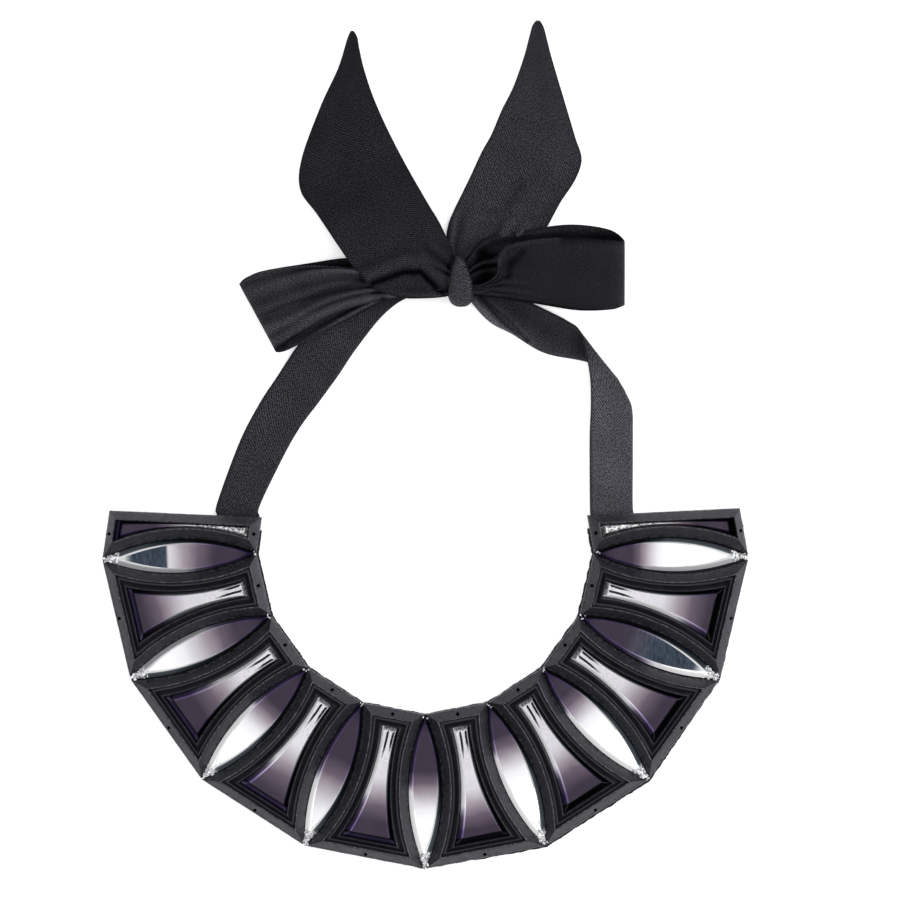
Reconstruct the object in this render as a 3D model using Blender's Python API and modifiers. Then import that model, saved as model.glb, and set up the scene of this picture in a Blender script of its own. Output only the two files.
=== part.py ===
"""Bib necklace: black moulded frames and mirrored stones on a crescent of cloth, tied with a ribbon bow.

The necklace lies on its back on a flat surface. Its ring is laid out round the Z axis, with the bow
towards +Y, and the whole is then set with the middle of its footprint at the origin. Units are metres
and radians.
"""
import math

import bmesh
import bpy
from mathutils import Matrix, Vector

# Ring
INNER_RADIUS = 0.0676
PANEL_LENGTH = 0.0616
PANEL_COUNT = 8
GAP = 0.0003

# Cloth behind the frames
BACKING_THICKNESS = 0.0012
BACKING_OVERHANG = 0.0008
OUTER_OVERHANG = 0.0002
BACKING_SAG = 0.0006

# Frames
FRAME_HEIGHT = 0.0060
BAND_WIDTH = 0.0080
INNER_BAND = 0.0073
OUTER_BAND = 0.0070
NECK_WIDTH = 0.0054
WAIST_EASE = 0.0008
WAIST_SHARE = 0.20
HOLE_DIAMETER = 0.0014
INNER_HOLE_INSET = 0.0021
OUTER_HOLE_INSET = 0.0014

# Half panels at the two ends
ARC_BAR = 0.0047
TOP_BAR = 0.0038
OUTER_BAR = 0.0034
INNER_BAR = 0.0046
HALF_NECK = 0.0016
LEFT_CUT_TILT = math.radians(4.9)
RIGHT_CUT_TILT = math.radians(3.4)

# Stones
STONE_GIRDLE = 0.0020
STONE_CROWN = 0.0016
STONE_BEVEL = 0.0012
STONE_END_BEVEL = 0.0022
MARQUISE_WIDTH = 0.0136
MARQUISE_GIRDLE = 0.0024
MARQUISE_CROWN = 0.0020
MARQUISE_BEVEL = 0.0018
MARQUISE_INNER_TIP = 0.0032
MARQUISE_OUTER_TIP = 0.0074

# Ribbon
RIBBON_WIDTH = 0.038
RIBBON_THICKNESS = 0.0010
STRAP_WIDTH = 0.0168
STRAP_THICKNESS = 0.0012
STRAP_TUCK = 0.0050
STRAP_MARGIN = 0.0014
BOW_SIDE = 0.0139
BOW_RISE = 0.1052
KNOT_WIDTH = 0.0108
KNOT_LENGTH = 0.0204
KNOT_HEIGHT = 0.0112

# Laid out by hand: how far each piece is turned out about the inner tip before it, in degrees, from
# the middle stone outwards, frame and stone in turn
LEFT_TURNS = (0.0, 0.0, 0.0, 0.0, 0.0, 0.4, 0.0, 0.0, 0.0)
RIGHT_TURNS = (0.0, 0.0, 0.0, 0.0, 0.0, 0.4, 0.0, 1.1, 0.5)

# Steps along curves
ARC_STEPS = 9
ROW_STEPS = 3
CROSS_STEPS = 4
HOLE_SIDES = 8
KNOT_SIDES = 16

# Frame section: insets as shares of the band's width at the sides, the inner end and the outer end,
# and height as a share of the frame's height
FRAME_SECTION = (
    (0.00, 0.00, 0.00, 0.00),
    (0.00, 0.00, 0.00, 0.35),
    (0.44, 0.50, 0.51, 1.00),
    (0.48, 0.54, 0.55, 0.94),
    (0.54, 0.60, 0.61, 0.42),
    (0.66, 0.74, 0.72, 0.42),
    (0.93, 0.95, 0.93, 0.74),
    (1.00, 1.00, 1.00, 0.46),
    (1.00, 1.00, 1.00, 0.00),
)

# Half frame section: inset as a share of each bar's width, height as a share of the frame's height
HALF_SECTION = (
    (0.00, 0.00),
    (0.00, 0.36),
    (0.88, 1.00),
    (1.00, 0.92),
    (1.00, 0.00),
)

# Knot section: height as a share of the knot's height, size as a share of its outline
KNOT_SECTION = (
    (0.00, 0.78),
    (0.10, 0.97),
    (0.25, 1.00),
    (0.74, 1.00),
    (0.90, 0.82),
    (1.00, 0.42),
)

# Ribbon rows in the bow. Left and right edge as shares of the ribbon's width from the knot, the
# height of each edge in layers of ribbon, and the arch between them as a share of the width.
#   left x, left y, right x, right y, left layer, right layer, arch
LEFT_TAIL = (
    (0.02, -0.10, 0.02, 0.10, 5.2, 5.2, 0.00),
    (-0.16, -0.16, -0.06, 0.24, 5.0, 5.2, 0.02),
    (-0.37, -0.18, -0.09, 0.36, 5.0, 5.2, 0.03),
    (-0.63, -0.17, -0.15, 0.48, 5.1, 5.0, 0.04),
    (-0.91, -0.07, -0.23, 0.64, 5.4, 4.6, 0.04),
    (-1.13, 0.16, -0.35, 0.84, 5.6, 3.6, 0.03),
    (-1.49, 0.69, -0.57, 1.23, 1.8, 1.2, 0.02),
    (-1.68, 0.97, -0.76, 1.60, 0.2, 0.2, 0.02),
    (-1.66, 1.32, -0.91, 1.94, 0.0, 0.0, 0.01),
    (-1.46, 1.86, -1.01, 2.24, 0.0, 0.0, 0.00),
    (-1.28, 2.25, -1.06, 2.49, 0.0, 0.0, 0.00),
    (-1.16, 2.63, -1.11, 2.64, 0.0, 0.0, 0.00),
)
RIGHT_TAIL = (
    (-0.05, 0.05, 0.07, 0.05, 0.6, 0.6, 0.00),
    (-0.09, 0.24, 0.16, 0.20, 0.2, 0.2, 0.00),
    (-0.14, 0.42, 0.47, 0.21, 0.0, 0.0, 0.01),
    (-0.13, 0.57, 0.74, 0.34, 0.0, 0.0, 0.01),
    (-0.07, 0.74, 0.91, 0.57, 0.0, 0.0, 0.01),
    (0.10, 1.09, 1.06, 0.84, 0.0, 0.0, 0.01),
    (0.23, 1.37, 1.21, 1.07, 0.0, 0.0, 0.01),
    (0.33, 1.55, 1.28, 1.29, 0.0, 0.0, 0.01),
    (0.44, 1.81, 1.21, 1.53, 0.0, 0.0, 0.00),
    (0.56, 2.05, 1.11, 1.87, 0.0, 0.0, 0.00),
    (0.67, 2.36, 0.98, 2.34, 0.0, 0.0, 0.00),
    (0.80, 2.74, 0.86, 2.74, 0.0, 0.0, 0.00),
)
LEFT_LOOP = (
    (-0.02, -0.12, -0.02, 0.08, 1.4, 1.4, 0.00),
    (-0.40, -0.13, -0.40, 0.18, 1.2, 1.2, 0.00),
    (-0.75, -0.18, -0.78, 0.22, 1.1, 1.1, 0.00),
    (-1.15, -0.38, -1.16, 0.25, 1.1, 1.1, 0.00),
    (-1.58, -0.60, -1.55, 0.20, 1.1, 1.1, 0.00),
    (-1.84, -0.73, -2.12, 0.10, 1.2, 1.2, 0.00),
    (-1.93, -0.73, -2.31, -0.03, 2.9, 2.9, 0.00),
    (-1.81, -0.64, -2.18, 0.06, 4.7, 4.7, 0.00),
    (-1.42, -0.40, -1.68, 0.15, 4.6, 5.2, 0.02),
    (-1.14, -0.28, -1.20, 0.14, 3.8, 4.2, 0.03),
    (-0.77, -0.18, -0.78, 0.08, 3.1, 3.1, 0.01),
    (-0.40, -0.13, -0.40, 0.07, 2.9, 2.9, 0.00),
    (-0.02, -0.10, -0.02, 0.06, 2.9, 2.9, 0.00),
)
RIGHT_LOOP = (
    (0.02, -0.12, 0.02, 0.12, 1.6, 1.6, 0.00),
    (0.22, -0.15, 0.16, 0.36, 1.4, 1.4, 0.00),
    (0.48, -0.18, 0.28, 0.46, 1.2, 1.2, 0.00),
    (0.85, -0.24, 0.56, 0.52, 1.2, 1.2, 0.00),
    (1.25, -0.30, 1.13, 0.60, 1.2, 1.2, 0.00),
    (1.60, -0.29, 1.56, 0.55, 1.4, 1.4, 0.00),
    (1.72, -0.25, 1.72, 0.42, 4.0, 4.0, 0.00),
    (1.62, -0.28, 1.60, 0.42, 6.4, 6.4, 0.00),
    (1.25, -0.27, 1.25, 0.44, 6.2, 6.6, 0.02),
    (0.95, -0.20, 0.92, 0.43, 5.2, 5.8, 0.03),
    (0.67, -0.15, 0.56, 0.34, 4.4, 5.0, 0.03),
    (0.40, -0.10, 0.34, 0.18, 3.8, 4.2, 0.02),
    (0.20, -0.10, 0.18, 0.11, 3.6, 3.8, 0.00),
    (0.02, -0.09, 0.02, 0.09, 3.6, 3.6, 0.00),
)

# Strap rows between the half panel and the knot. Along is a share of the way from the panel to the
# knot, side a share of the strap's width to the left of that line, and the heights are in layers.
#   left along, left side, right along, right side, left layer, right layer
LEFT_STRAP = (
    (0.17, 1.18, 0.24, 0.23, 0.0, 0.0),
    (0.30, 1.47, 0.34, 0.41, 0.0, 0.0),
    (0.40, 1.61, 0.42, 0.48, 0.0, 0.0),
    (0.51, 1.76, 0.53, 0.59, 0.0, 0.0),
    (0.61, 1.80, 0.63, 0.72, 0.0, 0.0),
    (0.74, 1.50, 0.77, 0.80, 0.0, 0.0),
    (0.87, 0.90, 0.87, 0.60, 0.0, 0.0),
    (1.00, 0.20, 0.97, -0.05, 0.0, 0.0),
)
RIGHT_STRAP = (
    (0.27, -0.54, 0.19, -1.40, 0.2, 0.2),
    (0.37, -1.00, 0.28, -1.76, 1.2, 1.2),
    (0.46, -1.36, 0.34, -1.84, 1.5, 1.5),
    (0.55, -1.60, 0.37, -1.86, 1.5, 1.5),
    (0.62, -1.74, 0.42, -1.84, 0.8, 0.8),
    (0.67, -1.64, 0.51, -1.50, 0.0, 0.0),
    (0.74, -1.38, 0.62, -0.78, 0.0, 0.0),
    (0.82, -1.04, 0.74, -0.38, 0.0, 0.0),
    (0.89, -0.64, 0.82, -0.09, 0.0, 0.0),
    (0.95, -0.38, 0.91, 0.02, 0.0, 0.0),
    (1.02, -0.10, 1.00, 0.05, 0.0, 0.0),
)

BLACK_RESIN = ((0.013, 0.013, 0.016), 0.38, 0.0)
MIRROR_STONE = ((0.60, 0.56, 0.62), 0.10, 0.9)
SATIN = ((0.018, 0.018, 0.020), 0.55, 0.0)
FELT = ((0.010, 0.010, 0.011), 0.90, 0.0)

# Values worked out from the sizes above
LAYER = RIBBON_THICKNESS + 2 * GAP
OUTER_RADIUS = INNER_RADIUS + PANEL_LENGTH
MID_RADIUS = (INNER_RADIUS + OUTER_RADIUS) / 2
FRAME_FLOOR = BACKING_THICKNESS + GAP
LENS_HALF = MARQUISE_WIDTH / 2
LENS_RADIUS = (PANEL_LENGTH ** 2 / 4 + LENS_HALF ** 2) / MARQUISE_WIDTH
WAIST = PANEL_LENGTH * WAIST_SHARE
WAIST_BULGE = (
    math.sqrt(LENS_RADIUS ** 2 - (PANEL_LENGTH / 2 - WAIST) ** 2) - LENS_RADIUS + LENS_HALF
)
HALF_PITCH = math.asin((NECK_WIDTH / 2 + BAND_WIDTH + WAIST_BULGE) / (INNER_RADIUS + WAIST))
PITCH = 2 * HALF_PITCH
INNER_EDGE = INNER_RADIUS * math.cos(HALF_PITCH)
OUTER_EDGE = OUTER_RADIUS * math.cos(HALF_PITCH)
ARC_CENTRE = Matrix.Rotation(HALF_PITCH, 2) @ Vector((MID_RADIUS, LENS_RADIUS - LENS_HALF))
KNOT_CENTRE = Vector((BOW_SIDE, BOW_RISE))
BOTTOM_ANGLE = -math.pi / 2


def clear_scene():
    for item in list(bpy.data.objects):
        bpy.data.objects.remove(item, do_unlink=True)


def new_collection(name):
    collection = bpy.data.collections.new(name)
    bpy.context.scene.collection.children.link(collection)
    return collection


def add_object(name, mesh, collection, root):
    item = bpy.data.objects.new(name, mesh)
    item.parent = root
    collection.objects.link(item)
    return item


def finish(item, look):
    """Gives one object its own material."""
    colour, roughness, metallic = look
    material = bpy.data.materials.new(item.name)
    material.use_nodes = True
    shader = material.node_tree.nodes["Principled BSDF"]
    shader.inputs["Base Color"].default_value = (*colour, 1.0)
    shader.inputs["Roughness"].default_value = roughness
    shader.inputs["Metallic"].default_value = metallic
    item.data.materials.append(material)


def mesh_from(name, work):
    bmesh.ops.recalc_face_normals(work, faces=work.faces)
    mesh = bpy.data.meshes.new(name)
    work.to_mesh(mesh)
    work.free()
    return mesh


def join_loops(work, lower, upper):
    for index in range(len(lower)):
        after = (index + 1) % len(lower)
        work.faces.new((lower[index], lower[after], upper[after], upper[index]))


def skin(name, loops, ring):
    """Skins a row of loops with the same number of points. A ring joins its last loop to its first,
    and any other body is closed with strips across its first and last loop."""
    work = bmesh.new()
    rows = [[work.verts.new(point) for point in loop] for loop in loops]
    for lower, upper in zip(rows, rows[1:]):
        join_loops(work, lower, upper)
    if ring:
        join_loops(work, rows[-1], rows[0])
    else:
        for row in (rows[0], rows[-1]):
            close_strip(work, row)
    return mesh_from(name, work)


def close_strip(work, row):
    """Fills a loop whose first half runs out along one side and whose second half runs back."""
    near, far = 0, len(row) - 1
    while far - near >= 2:
        corners = (row[near], row[near + 1], row[far - 1], row[far])
        work.faces.new(dict.fromkeys(corners))
        near, far = near + 1, far - 1


def arc_offset(x, inset):
    """Distance from a panel's middle line to the side arc at x, moved into the panel by inset."""
    radius = LENS_RADIUS + GAP / 2 + inset
    return ARC_CENTRE.y - math.sqrt(radius ** 2 - (x - ARC_CENTRE.x) ** 2)


def stations(start, stop):
    return [start + (stop - start) * step / ARC_STEPS for step in range(ARC_STEPS + 1)]


def panel_sides(side, inner, outer):
    """The two sides of a full panel as (x, low y, high y) rows from the inner edge outwards, taken
    in at the sides and at both ends. The opening is a little easier at the waist."""
    rows = []
    for x in stations(INNER_EDGE + inner, OUTER_EDGE - outer):
        share = (x - INNER_EDGE) / (OUTER_EDGE - INNER_EDGE)
        ease = WAIST_EASE * math.sin(math.pi * share) * min(side / BAND_WIDTH, 1.0) ** 2
        reach = arc_offset(x, side - ease)
        rows.append((x, -reach, reach))
    return rows


def cut_line(tilt):
    """A point on a half panel's straight cut and the cut's outward direction."""
    axis = Vector((math.cos(HALF_PITCH), -math.sin(HALF_PITCH)))
    across = Vector((math.sin(HALF_PITCH), math.cos(HALF_PITCH)))
    height = LENS_HALF + GAP / 2 + ARC_BAR + HALF_NECK + TOP_BAR
    along = axis * math.cos(tilt) + across * math.sin(tilt)
    return axis * MID_RADIUS + across * height, along


def cut_height(x, tilt, inset):
    point, along = cut_line(tilt)
    return point.y + (x - point.x) * along.y / along.x - inset / along.x


def half_sides(share, tilt, extra=0.0):
    """The arc side and the cut side of a half panel, each bar taken in by a share of its width."""
    rows = []
    start = INNER_EDGE + INNER_BAR * share + extra
    stop = OUTER_EDGE - OUTER_BAR * share - extra
    for x in stations(start, stop):
        low = -arc_offset(x, ARC_BAR * share + extra)
        rows.append((x, low, cut_height(x, tilt, TOP_BAR * share + extra)))
    return rows


def loop_at(rows, height, flip=1):
    """Turns (x, low, high) rows into a closed loop of points at one height."""
    out = [Vector((x, flip * low, height)) for x, low, high in rows]
    back = [Vector((x, flip * high, height)) for x, low, high in reversed(rows)]
    return out + back


def narrowed(rows, bevel, end_bevel):
    """Takes a bevel off all four sides, or as much of it as a narrow place has room for."""
    first, last = rows[0][0], rows[-1][0]
    start, stop = first + bevel, last - end_bevel
    result = []
    for x, low, high in rows:
        side = min(bevel, 0.35 * (high - low) / 2)
        share = (x - first) / (last - first)
        result.append((start + share * (stop - start), low + side, high - side))
    return result


def frame_mesh():
    loops = []
    for side, inner, outer, height in FRAME_SECTION:
        rows = panel_sides(side * BAND_WIDTH, inner * INNER_BAND, outer * OUTER_BAND)
        loops.append(loop_at(rows, FRAME_FLOOR + height * FRAME_HEIGHT))
    return skin("panel_frame", loops, ring=True)


def half_frame_mesh(name, tilt, flip):
    loops = []
    for share, height in HALF_SECTION:
        loops.append(loop_at(half_sides(share, tilt), FRAME_FLOOR + height * FRAME_HEIGHT, flip))
    return skin(name, loops, ring=True)


def bar_stone_mesh(name, rows, flip=1):
    """A stone that fills a frame's opening: a straight girdle under a bevelled table."""
    girdle = FRAME_FLOOR + STONE_GIRDLE
    loops = [
        loop_at(rows, FRAME_FLOOR, flip),
        loop_at(rows, girdle, flip),
        loop_at(narrowed(rows, STONE_BEVEL, STONE_END_BEVEL), girdle + STONE_CROWN, flip),
    ]
    return skin(name, loops, ring=False)


def lens_loop(start, stop, half_width, height):
    """A pointed oval between two tips on the X axis."""
    length = stop - start
    radius = (length ** 2 / 4 + half_width ** 2) / (2 * half_width)
    side = []
    for x in stations(start, stop):
        middle = x - (start + stop) / 2
        reach = math.sqrt(max(radius ** 2 - middle ** 2, 0.0)) - radius + half_width
        side.append((x, max(reach, 0.0)))
    out = [Vector((x, -reach, height)) for x, reach in side]
    back = [Vector((x, reach, height)) for x, reach in reversed(side[1:-1])]
    return out + back


def marquise_mesh():
    girdle = FRAME_FLOOR + MARQUISE_GIRDLE
    start, stop = INNER_RADIUS + GAP, OUTER_RADIUS - GAP
    half_width = LENS_HALF - GAP
    table = (start + MARQUISE_INNER_TIP, stop - MARQUISE_OUTER_TIP, half_width - MARQUISE_BEVEL)
    loops = [
        lens_loop(start, stop, half_width, FRAME_FLOOR),
        lens_loop(start, stop, half_width, girdle),
        lens_loop(*table, girdle + MARQUISE_CROWN),
    ]
    work = bmesh.new()
    rows = [[work.verts.new(point) for point in loop] for loop in loops]
    for lower, upper in zip(rows, rows[1:]):
        join_loops(work, lower, upper)
    for row in (rows[0], rows[-1]):
        work.faces.new(row)
    return mesh_from("marquise", work)


def hole_cutter_mesh(name, spots):
    """Upright pins for the sewing holes in one frame."""
    work = bmesh.new()
    for spot in spots:
        bmesh.ops.create_cone(
            work, cap_ends=True, segments=HOLE_SIDES, radius1=HOLE_DIAMETER / 2,
            radius2=HOLE_DIAMETER / 2, depth=4 * FRAME_HEIGHT,
            matrix=Matrix.Translation((spot[0], spot[1], FRAME_FLOOR)),
        )
    return mesh_from(name, work)


def cut_with(item, cutter):
    cutter.hide_render = True
    cutter.display_type = "WIRE"
    modifier = item.modifiers.new("cut", "BOOLEAN")
    modifier.operation = "DIFFERENCE"
    modifier.solver = "EXACT"
    modifier.object = cutter


def half_hole_spots(tilt, flip):
    """The middle of each end bar of a half panel."""
    spots = []
    for x in (INNER_EDGE + INNER_HOLE_INSET, OUTER_EDGE - OUTER_HOLE_INSET):
        low, high = -arc_offset(x, 0.0), cut_height(x, tilt, 0.0)
        spots.append((x, flip * (low + high) / 2))
    return spots


def turned(angle, pivot):
    move = Matrix.Translation((pivot.x, pivot.y, 0.0))
    return move @ Matrix.Rotation(angle, 4, "Z") @ move.inverted()


def placed_chain(side, turns):
    """Places the frames and stones of one side, from the middle stone outwards. Each piece stands at
    its even angle on the ring, and the turns of all the pieces before it swing it outwards."""
    swing = Matrix.Identity(4)
    places = []
    for step in range(1, PANEL_COUNT + 2):
        turn = turns[step - 1] if step <= len(turns) else 0.0
        even_angle = BOTTOM_ANGLE + side * step * HALF_PITCH
        tip = unit(BOTTOM_ANGLE + side * (step // 2) * PITCH) * INNER_RADIUS
        pivot = swing @ Vector((tip.x, tip.y, 0.0))
        swing = turned(side * math.radians(turn), pivot) @ swing
        places.append(swing @ Matrix.Rotation(even_angle, 4, "Z"))
    return places


def layout():
    """The places of all the frames and of all the stones between them, from left to right."""
    left, right = placed_chain(-1, LEFT_TURNS), placed_chain(1, RIGHT_TURNS)
    middle = Matrix.Rotation(BOTTOM_ANGLE, 4, "Z")
    panels = left[0::2][::-1] + right[0::2]
    stones = left[1::2][::-1] + [middle] + right[1::2]
    return panels, stones


def build_frames(parts, cutters, root):
    full = frame_mesh()
    panels = layout()[0]
    full_holes = [(INNER_EDGE + INNER_HOLE_INSET, 0.0), (OUTER_EDGE - OUTER_HOLE_INSET, 0.0)]
    for index in range(PANEL_COUNT + 2):
        number = f"{index + 1:02d}"
        if index in (0, PANEL_COUNT + 1):
            tilt, flip = half_panel(index)
            mesh = half_frame_mesh(f"half_frame_{number}", tilt, flip)
            spots = half_hole_spots(tilt, flip)
        else:
            mesh, spots = full.copy(), full_holes
        frame = add_object(f"frame_{number}", mesh, parts, root)
        frame.matrix_local = panels[index]
        finish(frame, BLACK_RESIN)
        pins = add_object(f"sewing_holes_{number}", hole_cutter_mesh("pins", spots), cutters, root)
        pins.matrix_local = panels[index]
        cut_with(frame, pins)


def half_panel(index):
    """Tilt of the cut and the side of a half panel: the left one is the right one turned over."""
    return (LEFT_CUT_TILT, -1) if index == 0 else (RIGHT_CUT_TILT, 1)


def build_bar_stones(parts, root):
    rows = panel_sides(BAND_WIDTH + GAP, INNER_BAND + GAP, OUTER_BAND + GAP)
    full = bar_stone_mesh("bar_stone", rows)
    panels = layout()[0]
    for index in range(PANEL_COUNT + 2):
        number = f"{index + 1:02d}"
        if index in (0, PANEL_COUNT + 1):
            tilt, flip = half_panel(index)
            mesh = bar_stone_mesh(f"half_stone_{number}", half_sides(1.0, tilt, GAP), flip)
        else:
            mesh = full.copy()
        stone = add_object(f"bar_stone_{number}", mesh, parts, root)
        stone.matrix_local = panels[index]
        finish(stone, MIRROR_STONE)


def build_marquise_stones(parts, root):
    mesh = marquise_mesh()
    for index, place in enumerate(layout()[1]):
        stone = add_object(f"marquise_stone_{index + 1:02d}", mesh.copy(), parts, root)
        stone.matrix_local = place
        finish(stone, MIRROR_STONE)


def on_ring(point, index):
    """Moves a point of a half panel's own frame, drawn for the right side, onto the ring."""
    flip = half_panel(index)[1]
    spot = layout()[0][index] @ Vector((point.x, flip * point.y, 0.0))
    return spot.xy


def strap_seat(index, along, inside):
    """A point by a half panel's cut: along it from the inner corner, and inside it under the bar."""
    tilt = half_panel(index)[0]
    direction = cut_line(tilt)[1]
    corner = Vector((INNER_EDGE, cut_height(INNER_EDGE, tilt, 0.0)))
    inward = Vector((direction.y, -direction.x))
    return on_ring(corner + direction * along + inward * inside, index)


def end_outline(index):
    """The cloth's edge at a half panel, from the outer corner to the inner one, stepped back where
    the strap is sewn in beside it."""
    tilt = half_panel(index)[0]
    outer = OUTER_EDGE + OUTER_OVERHANG
    inner = INNER_EDGE - BACKING_OVERHANG
    step = STRAP_MARGIN + STRAP_WIDTH + GAP
    depth = STRAP_TUCK + GAP
    low_corner = Vector((inner, cut_height(inner, tilt, depth)))
    return [
        on_ring(Vector((outer, cut_height(outer, tilt, GAP))), index),
        strap_seat(index, step, GAP),
        strap_seat(index, step, depth),
        on_ring(low_corner, index),
    ]


def build_backing(parts, root):
    """The crescent of cloth: straight from stone tip to stone tip along both edges."""
    stones = layout()[1]
    sag = Vector((0.0, -BACKING_SAG))
    far, near = OUTER_RADIUS + OUTER_OVERHANG, INNER_RADIUS - BACKING_OVERHANG
    outer = [(place @ Vector((far, 0.0, 0.0))).xy + sag for place in stones]
    inner = [(place @ Vector((near, 0.0, 0.0))).xy + sag for place in stones]
    left, right = end_outline(0), end_outline(PANEL_COUNT + 1)
    outline = outer + right + inner[::-1] + left[::-1]
    work = bmesh.new()
    face = work.faces.new([work.verts.new((point.x, point.y, 0.0)) for point in outline])
    raised = bmesh.ops.extrude_face_region(work, geom=[face])["geom"]
    verts = [item for item in raised if isinstance(item, bmesh.types.BMVert)]
    bmesh.ops.translate(work, verts=verts, vec=(0.0, 0.0, BACKING_THICKNESS))
    backing = add_object("backing", mesh_from("backing", work), parts, root)
    finish(backing, FELT)


def unit(angle):
    return Vector((math.cos(angle), math.sin(angle)))


def smooth_between(rows, steps):
    """Reads more rows from a smooth curve through the given ones."""
    padded = [rows[0], *rows, rows[-1]]
    result = []
    for index in range(1, len(padded) - 2):
        before, start, stop, after = padded[index - 1:index + 3]
        for step in range(steps):
            t = step / steps
            result.append([
                0.5 * (2 * b + (c - a) * t + (2 * a - 5 * b + 4 * c - d) * t ** 2
                       + (3 * b - a - 3 * c + d) * t ** 3)
                for a, b, c, d in zip(before, start, stop, after)
            ])
    result.append(list(rows[-1]))
    return result


def ribbon_mesh(name, rows, floor):
    """An open strip through rows of (left point, right point, arch), read smoothly, whose middle
    layer stays on or above the floor height."""
    flat = [(*left, *right, arch) for left, right, arch in rows]
    work = bmesh.new()
    grid = []
    for values in smooth_between(flat, ROW_STEPS):
        left, right, arch = Vector(values[0:3]), Vector(values[3:6]), values[6]
        line = []
        for step in range(CROSS_STEPS + 1):
            share = step / CROSS_STEPS
            point = left.lerp(right, share)
            point.z = max(point.z + arch * math.sin(math.pi * share), floor)
            line.append(work.verts.new(point))
        grid.append(line)
    for near, far in zip(grid, grid[1:]):
        for step in range(CROSS_STEPS):
            work.faces.new((near[step], near[step + 1], far[step + 1], far[step]))
    mesh = bpy.data.meshes.new(name)
    work.to_mesh(mesh)
    work.free()
    return mesh


def add_ribbon(name, rows, thickness, knot_room, parts, root):
    """A ribbon of real thickness, stopped just short of the knot."""
    ribbon = add_object(name, ribbon_mesh(name, rows, thickness / 2), parts, root)
    shell = ribbon.modifiers.new("thickness", "SOLIDIFY")
    shell.thickness = thickness
    shell.offset = 0.0
    cut_with(ribbon, knot_room)
    finish(ribbon, SATIN)


def bow_rows(table):
    rows = []
    for left_x, left_y, right_x, right_y, left_layer, right_layer, arch in table:
        left = KNOT_CENTRE + Vector((left_x, left_y)) * RIBBON_WIDTH
        right = KNOT_CENTRE + Vector((right_x, right_y)) * RIBBON_WIDTH
        rows.append((
            (*left, RIBBON_THICKNESS / 2 + left_layer * LAYER),
            (*right, RIBBON_THICKNESS / 2 + right_layer * LAYER),
            arch * RIBBON_WIDTH,
        ))
    return rows


def strap_rows(index, table):
    """A strap from under its half panel's bar to the knot."""
    edges = (STRAP_MARGIN, STRAP_MARGIN + STRAP_WIDTH)
    near, far = edges if index else edges[::-1]
    floor = STRAP_THICKNESS / 2
    rows = []
    for inside in (STRAP_TUCK, 0.0, -STRAP_TUCK):
        left, right = strap_seat(index, near, inside), strap_seat(index, far, inside)
        rows.append(((*left, floor), (*right, floor), 0.0))
    start = strap_seat(index, STRAP_MARGIN + STRAP_WIDTH / 2, 0.0)
    way = KNOT_CENTRE - start
    side = Vector((-way.y, way.x)).normalized() * STRAP_WIDTH
    for left_along, left_side, right_along, right_side, left_layer, right_layer in table:
        left = start + way * left_along + side * left_side
        right = start + way * right_along + side * right_side
        rows.append((
            (*left, floor + left_layer * LAYER),
            (*right, floor + right_layer * LAYER),
            0.0,
        ))
    return rows


def knot_loop(size, height, margin):
    """One level of the knot: an oval that is fuller towards its lower end."""
    loop = []
    for step in range(KNOT_SIDES):
        angle = 2 * math.pi * step / KNOT_SIDES
        fullness = 1 - 0.12 * math.sin(angle)
        x = (KNOT_WIDTH / 2 * size + margin) * math.cos(angle) * fullness
        y = (KNOT_LENGTH / 2 * size + margin) * math.sin(angle)
        loop.append(Vector((KNOT_CENTRE.x + x, KNOT_CENTRE.y + y, height)))
    return loop


def knot_mesh(name, levels, margin=0.0):
    work = bmesh.new()
    loops = [knot_loop(size, height, margin) for height, size in levels]
    rows = [[work.verts.new(point) for point in loop] for loop in loops]
    for lower, upper in zip(rows, rows[1:]):
        join_loops(work, lower, upper)
    for row in (rows[0], rows[-1]):
        work.faces.new(row)
    return mesh_from(name, work)


def build_bow(parts, cutters, root):
    levels = [(height * KNOT_HEIGHT, size) for height, size in KNOT_SECTION]
    knot = add_object("bow_knot", knot_mesh("bow_knot", levels), parts, root)
    finish(knot, SATIN)
    room_levels = [(-KNOT_HEIGHT, 1.0), (2 * KNOT_HEIGHT, 1.0)]
    room = add_object("knot_room", knot_mesh("knot_room", room_levels, GAP), cutters, root)
    last = PANEL_COUNT + 1
    for name, rows, thickness in (
        ("ribbon_strap_left", strap_rows(0, LEFT_STRAP), STRAP_THICKNESS),
        ("ribbon_strap_right", strap_rows(last, RIGHT_STRAP), STRAP_THICKNESS),
        ("bow_loop_left", bow_rows(LEFT_LOOP), RIBBON_THICKNESS),
        ("bow_loop_right", bow_rows(RIGHT_LOOP), RIBBON_THICKNESS),
        ("ribbon_tail_left", bow_rows(LEFT_TAIL), RIBBON_THICKNESS),
        ("ribbon_tail_right", bow_rows(RIGHT_TAIL), RIBBON_THICKNESS),
    ):
        add_ribbon(name, rows, thickness, room, parts, root)


def centre_on_floor(parts, root):
    """Moves the whole so that the middle of its footprint is the origin and it stands on z = 0."""
    bpy.context.view_layer.update()
    view = bpy.context.evaluated_depsgraph_get()
    corners = []
    for item in parts.objects:
        shown = item.evaluated_get(view)
        corners += [shown.matrix_world @ vertex.co for vertex in shown.data.vertices]
    low = Vector([min(point[axis] for point in corners) for axis in range(3)])
    high = Vector([max(point[axis] for point in corners) for axis in range(3)])
    root.location = (-(low.x + high.x) / 2, -(low.y + high.y) / 2, -low.z)


def main():
    clear_scene()
    parts = new_collection("bib_necklace")
    cutters = new_collection("cutters")
    root = bpy.data.objects.new("necklace_origin", None)
    bpy.context.scene.collection.objects.link(root)
    build_backing(parts, root)
    build_frames(parts, cutters, root)
    build_bar_stones(parts, root)
    build_marquise_stones(parts, root)
    build_bow(parts, cutters, root)
    centre_on_floor(parts, root)


main()
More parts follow.
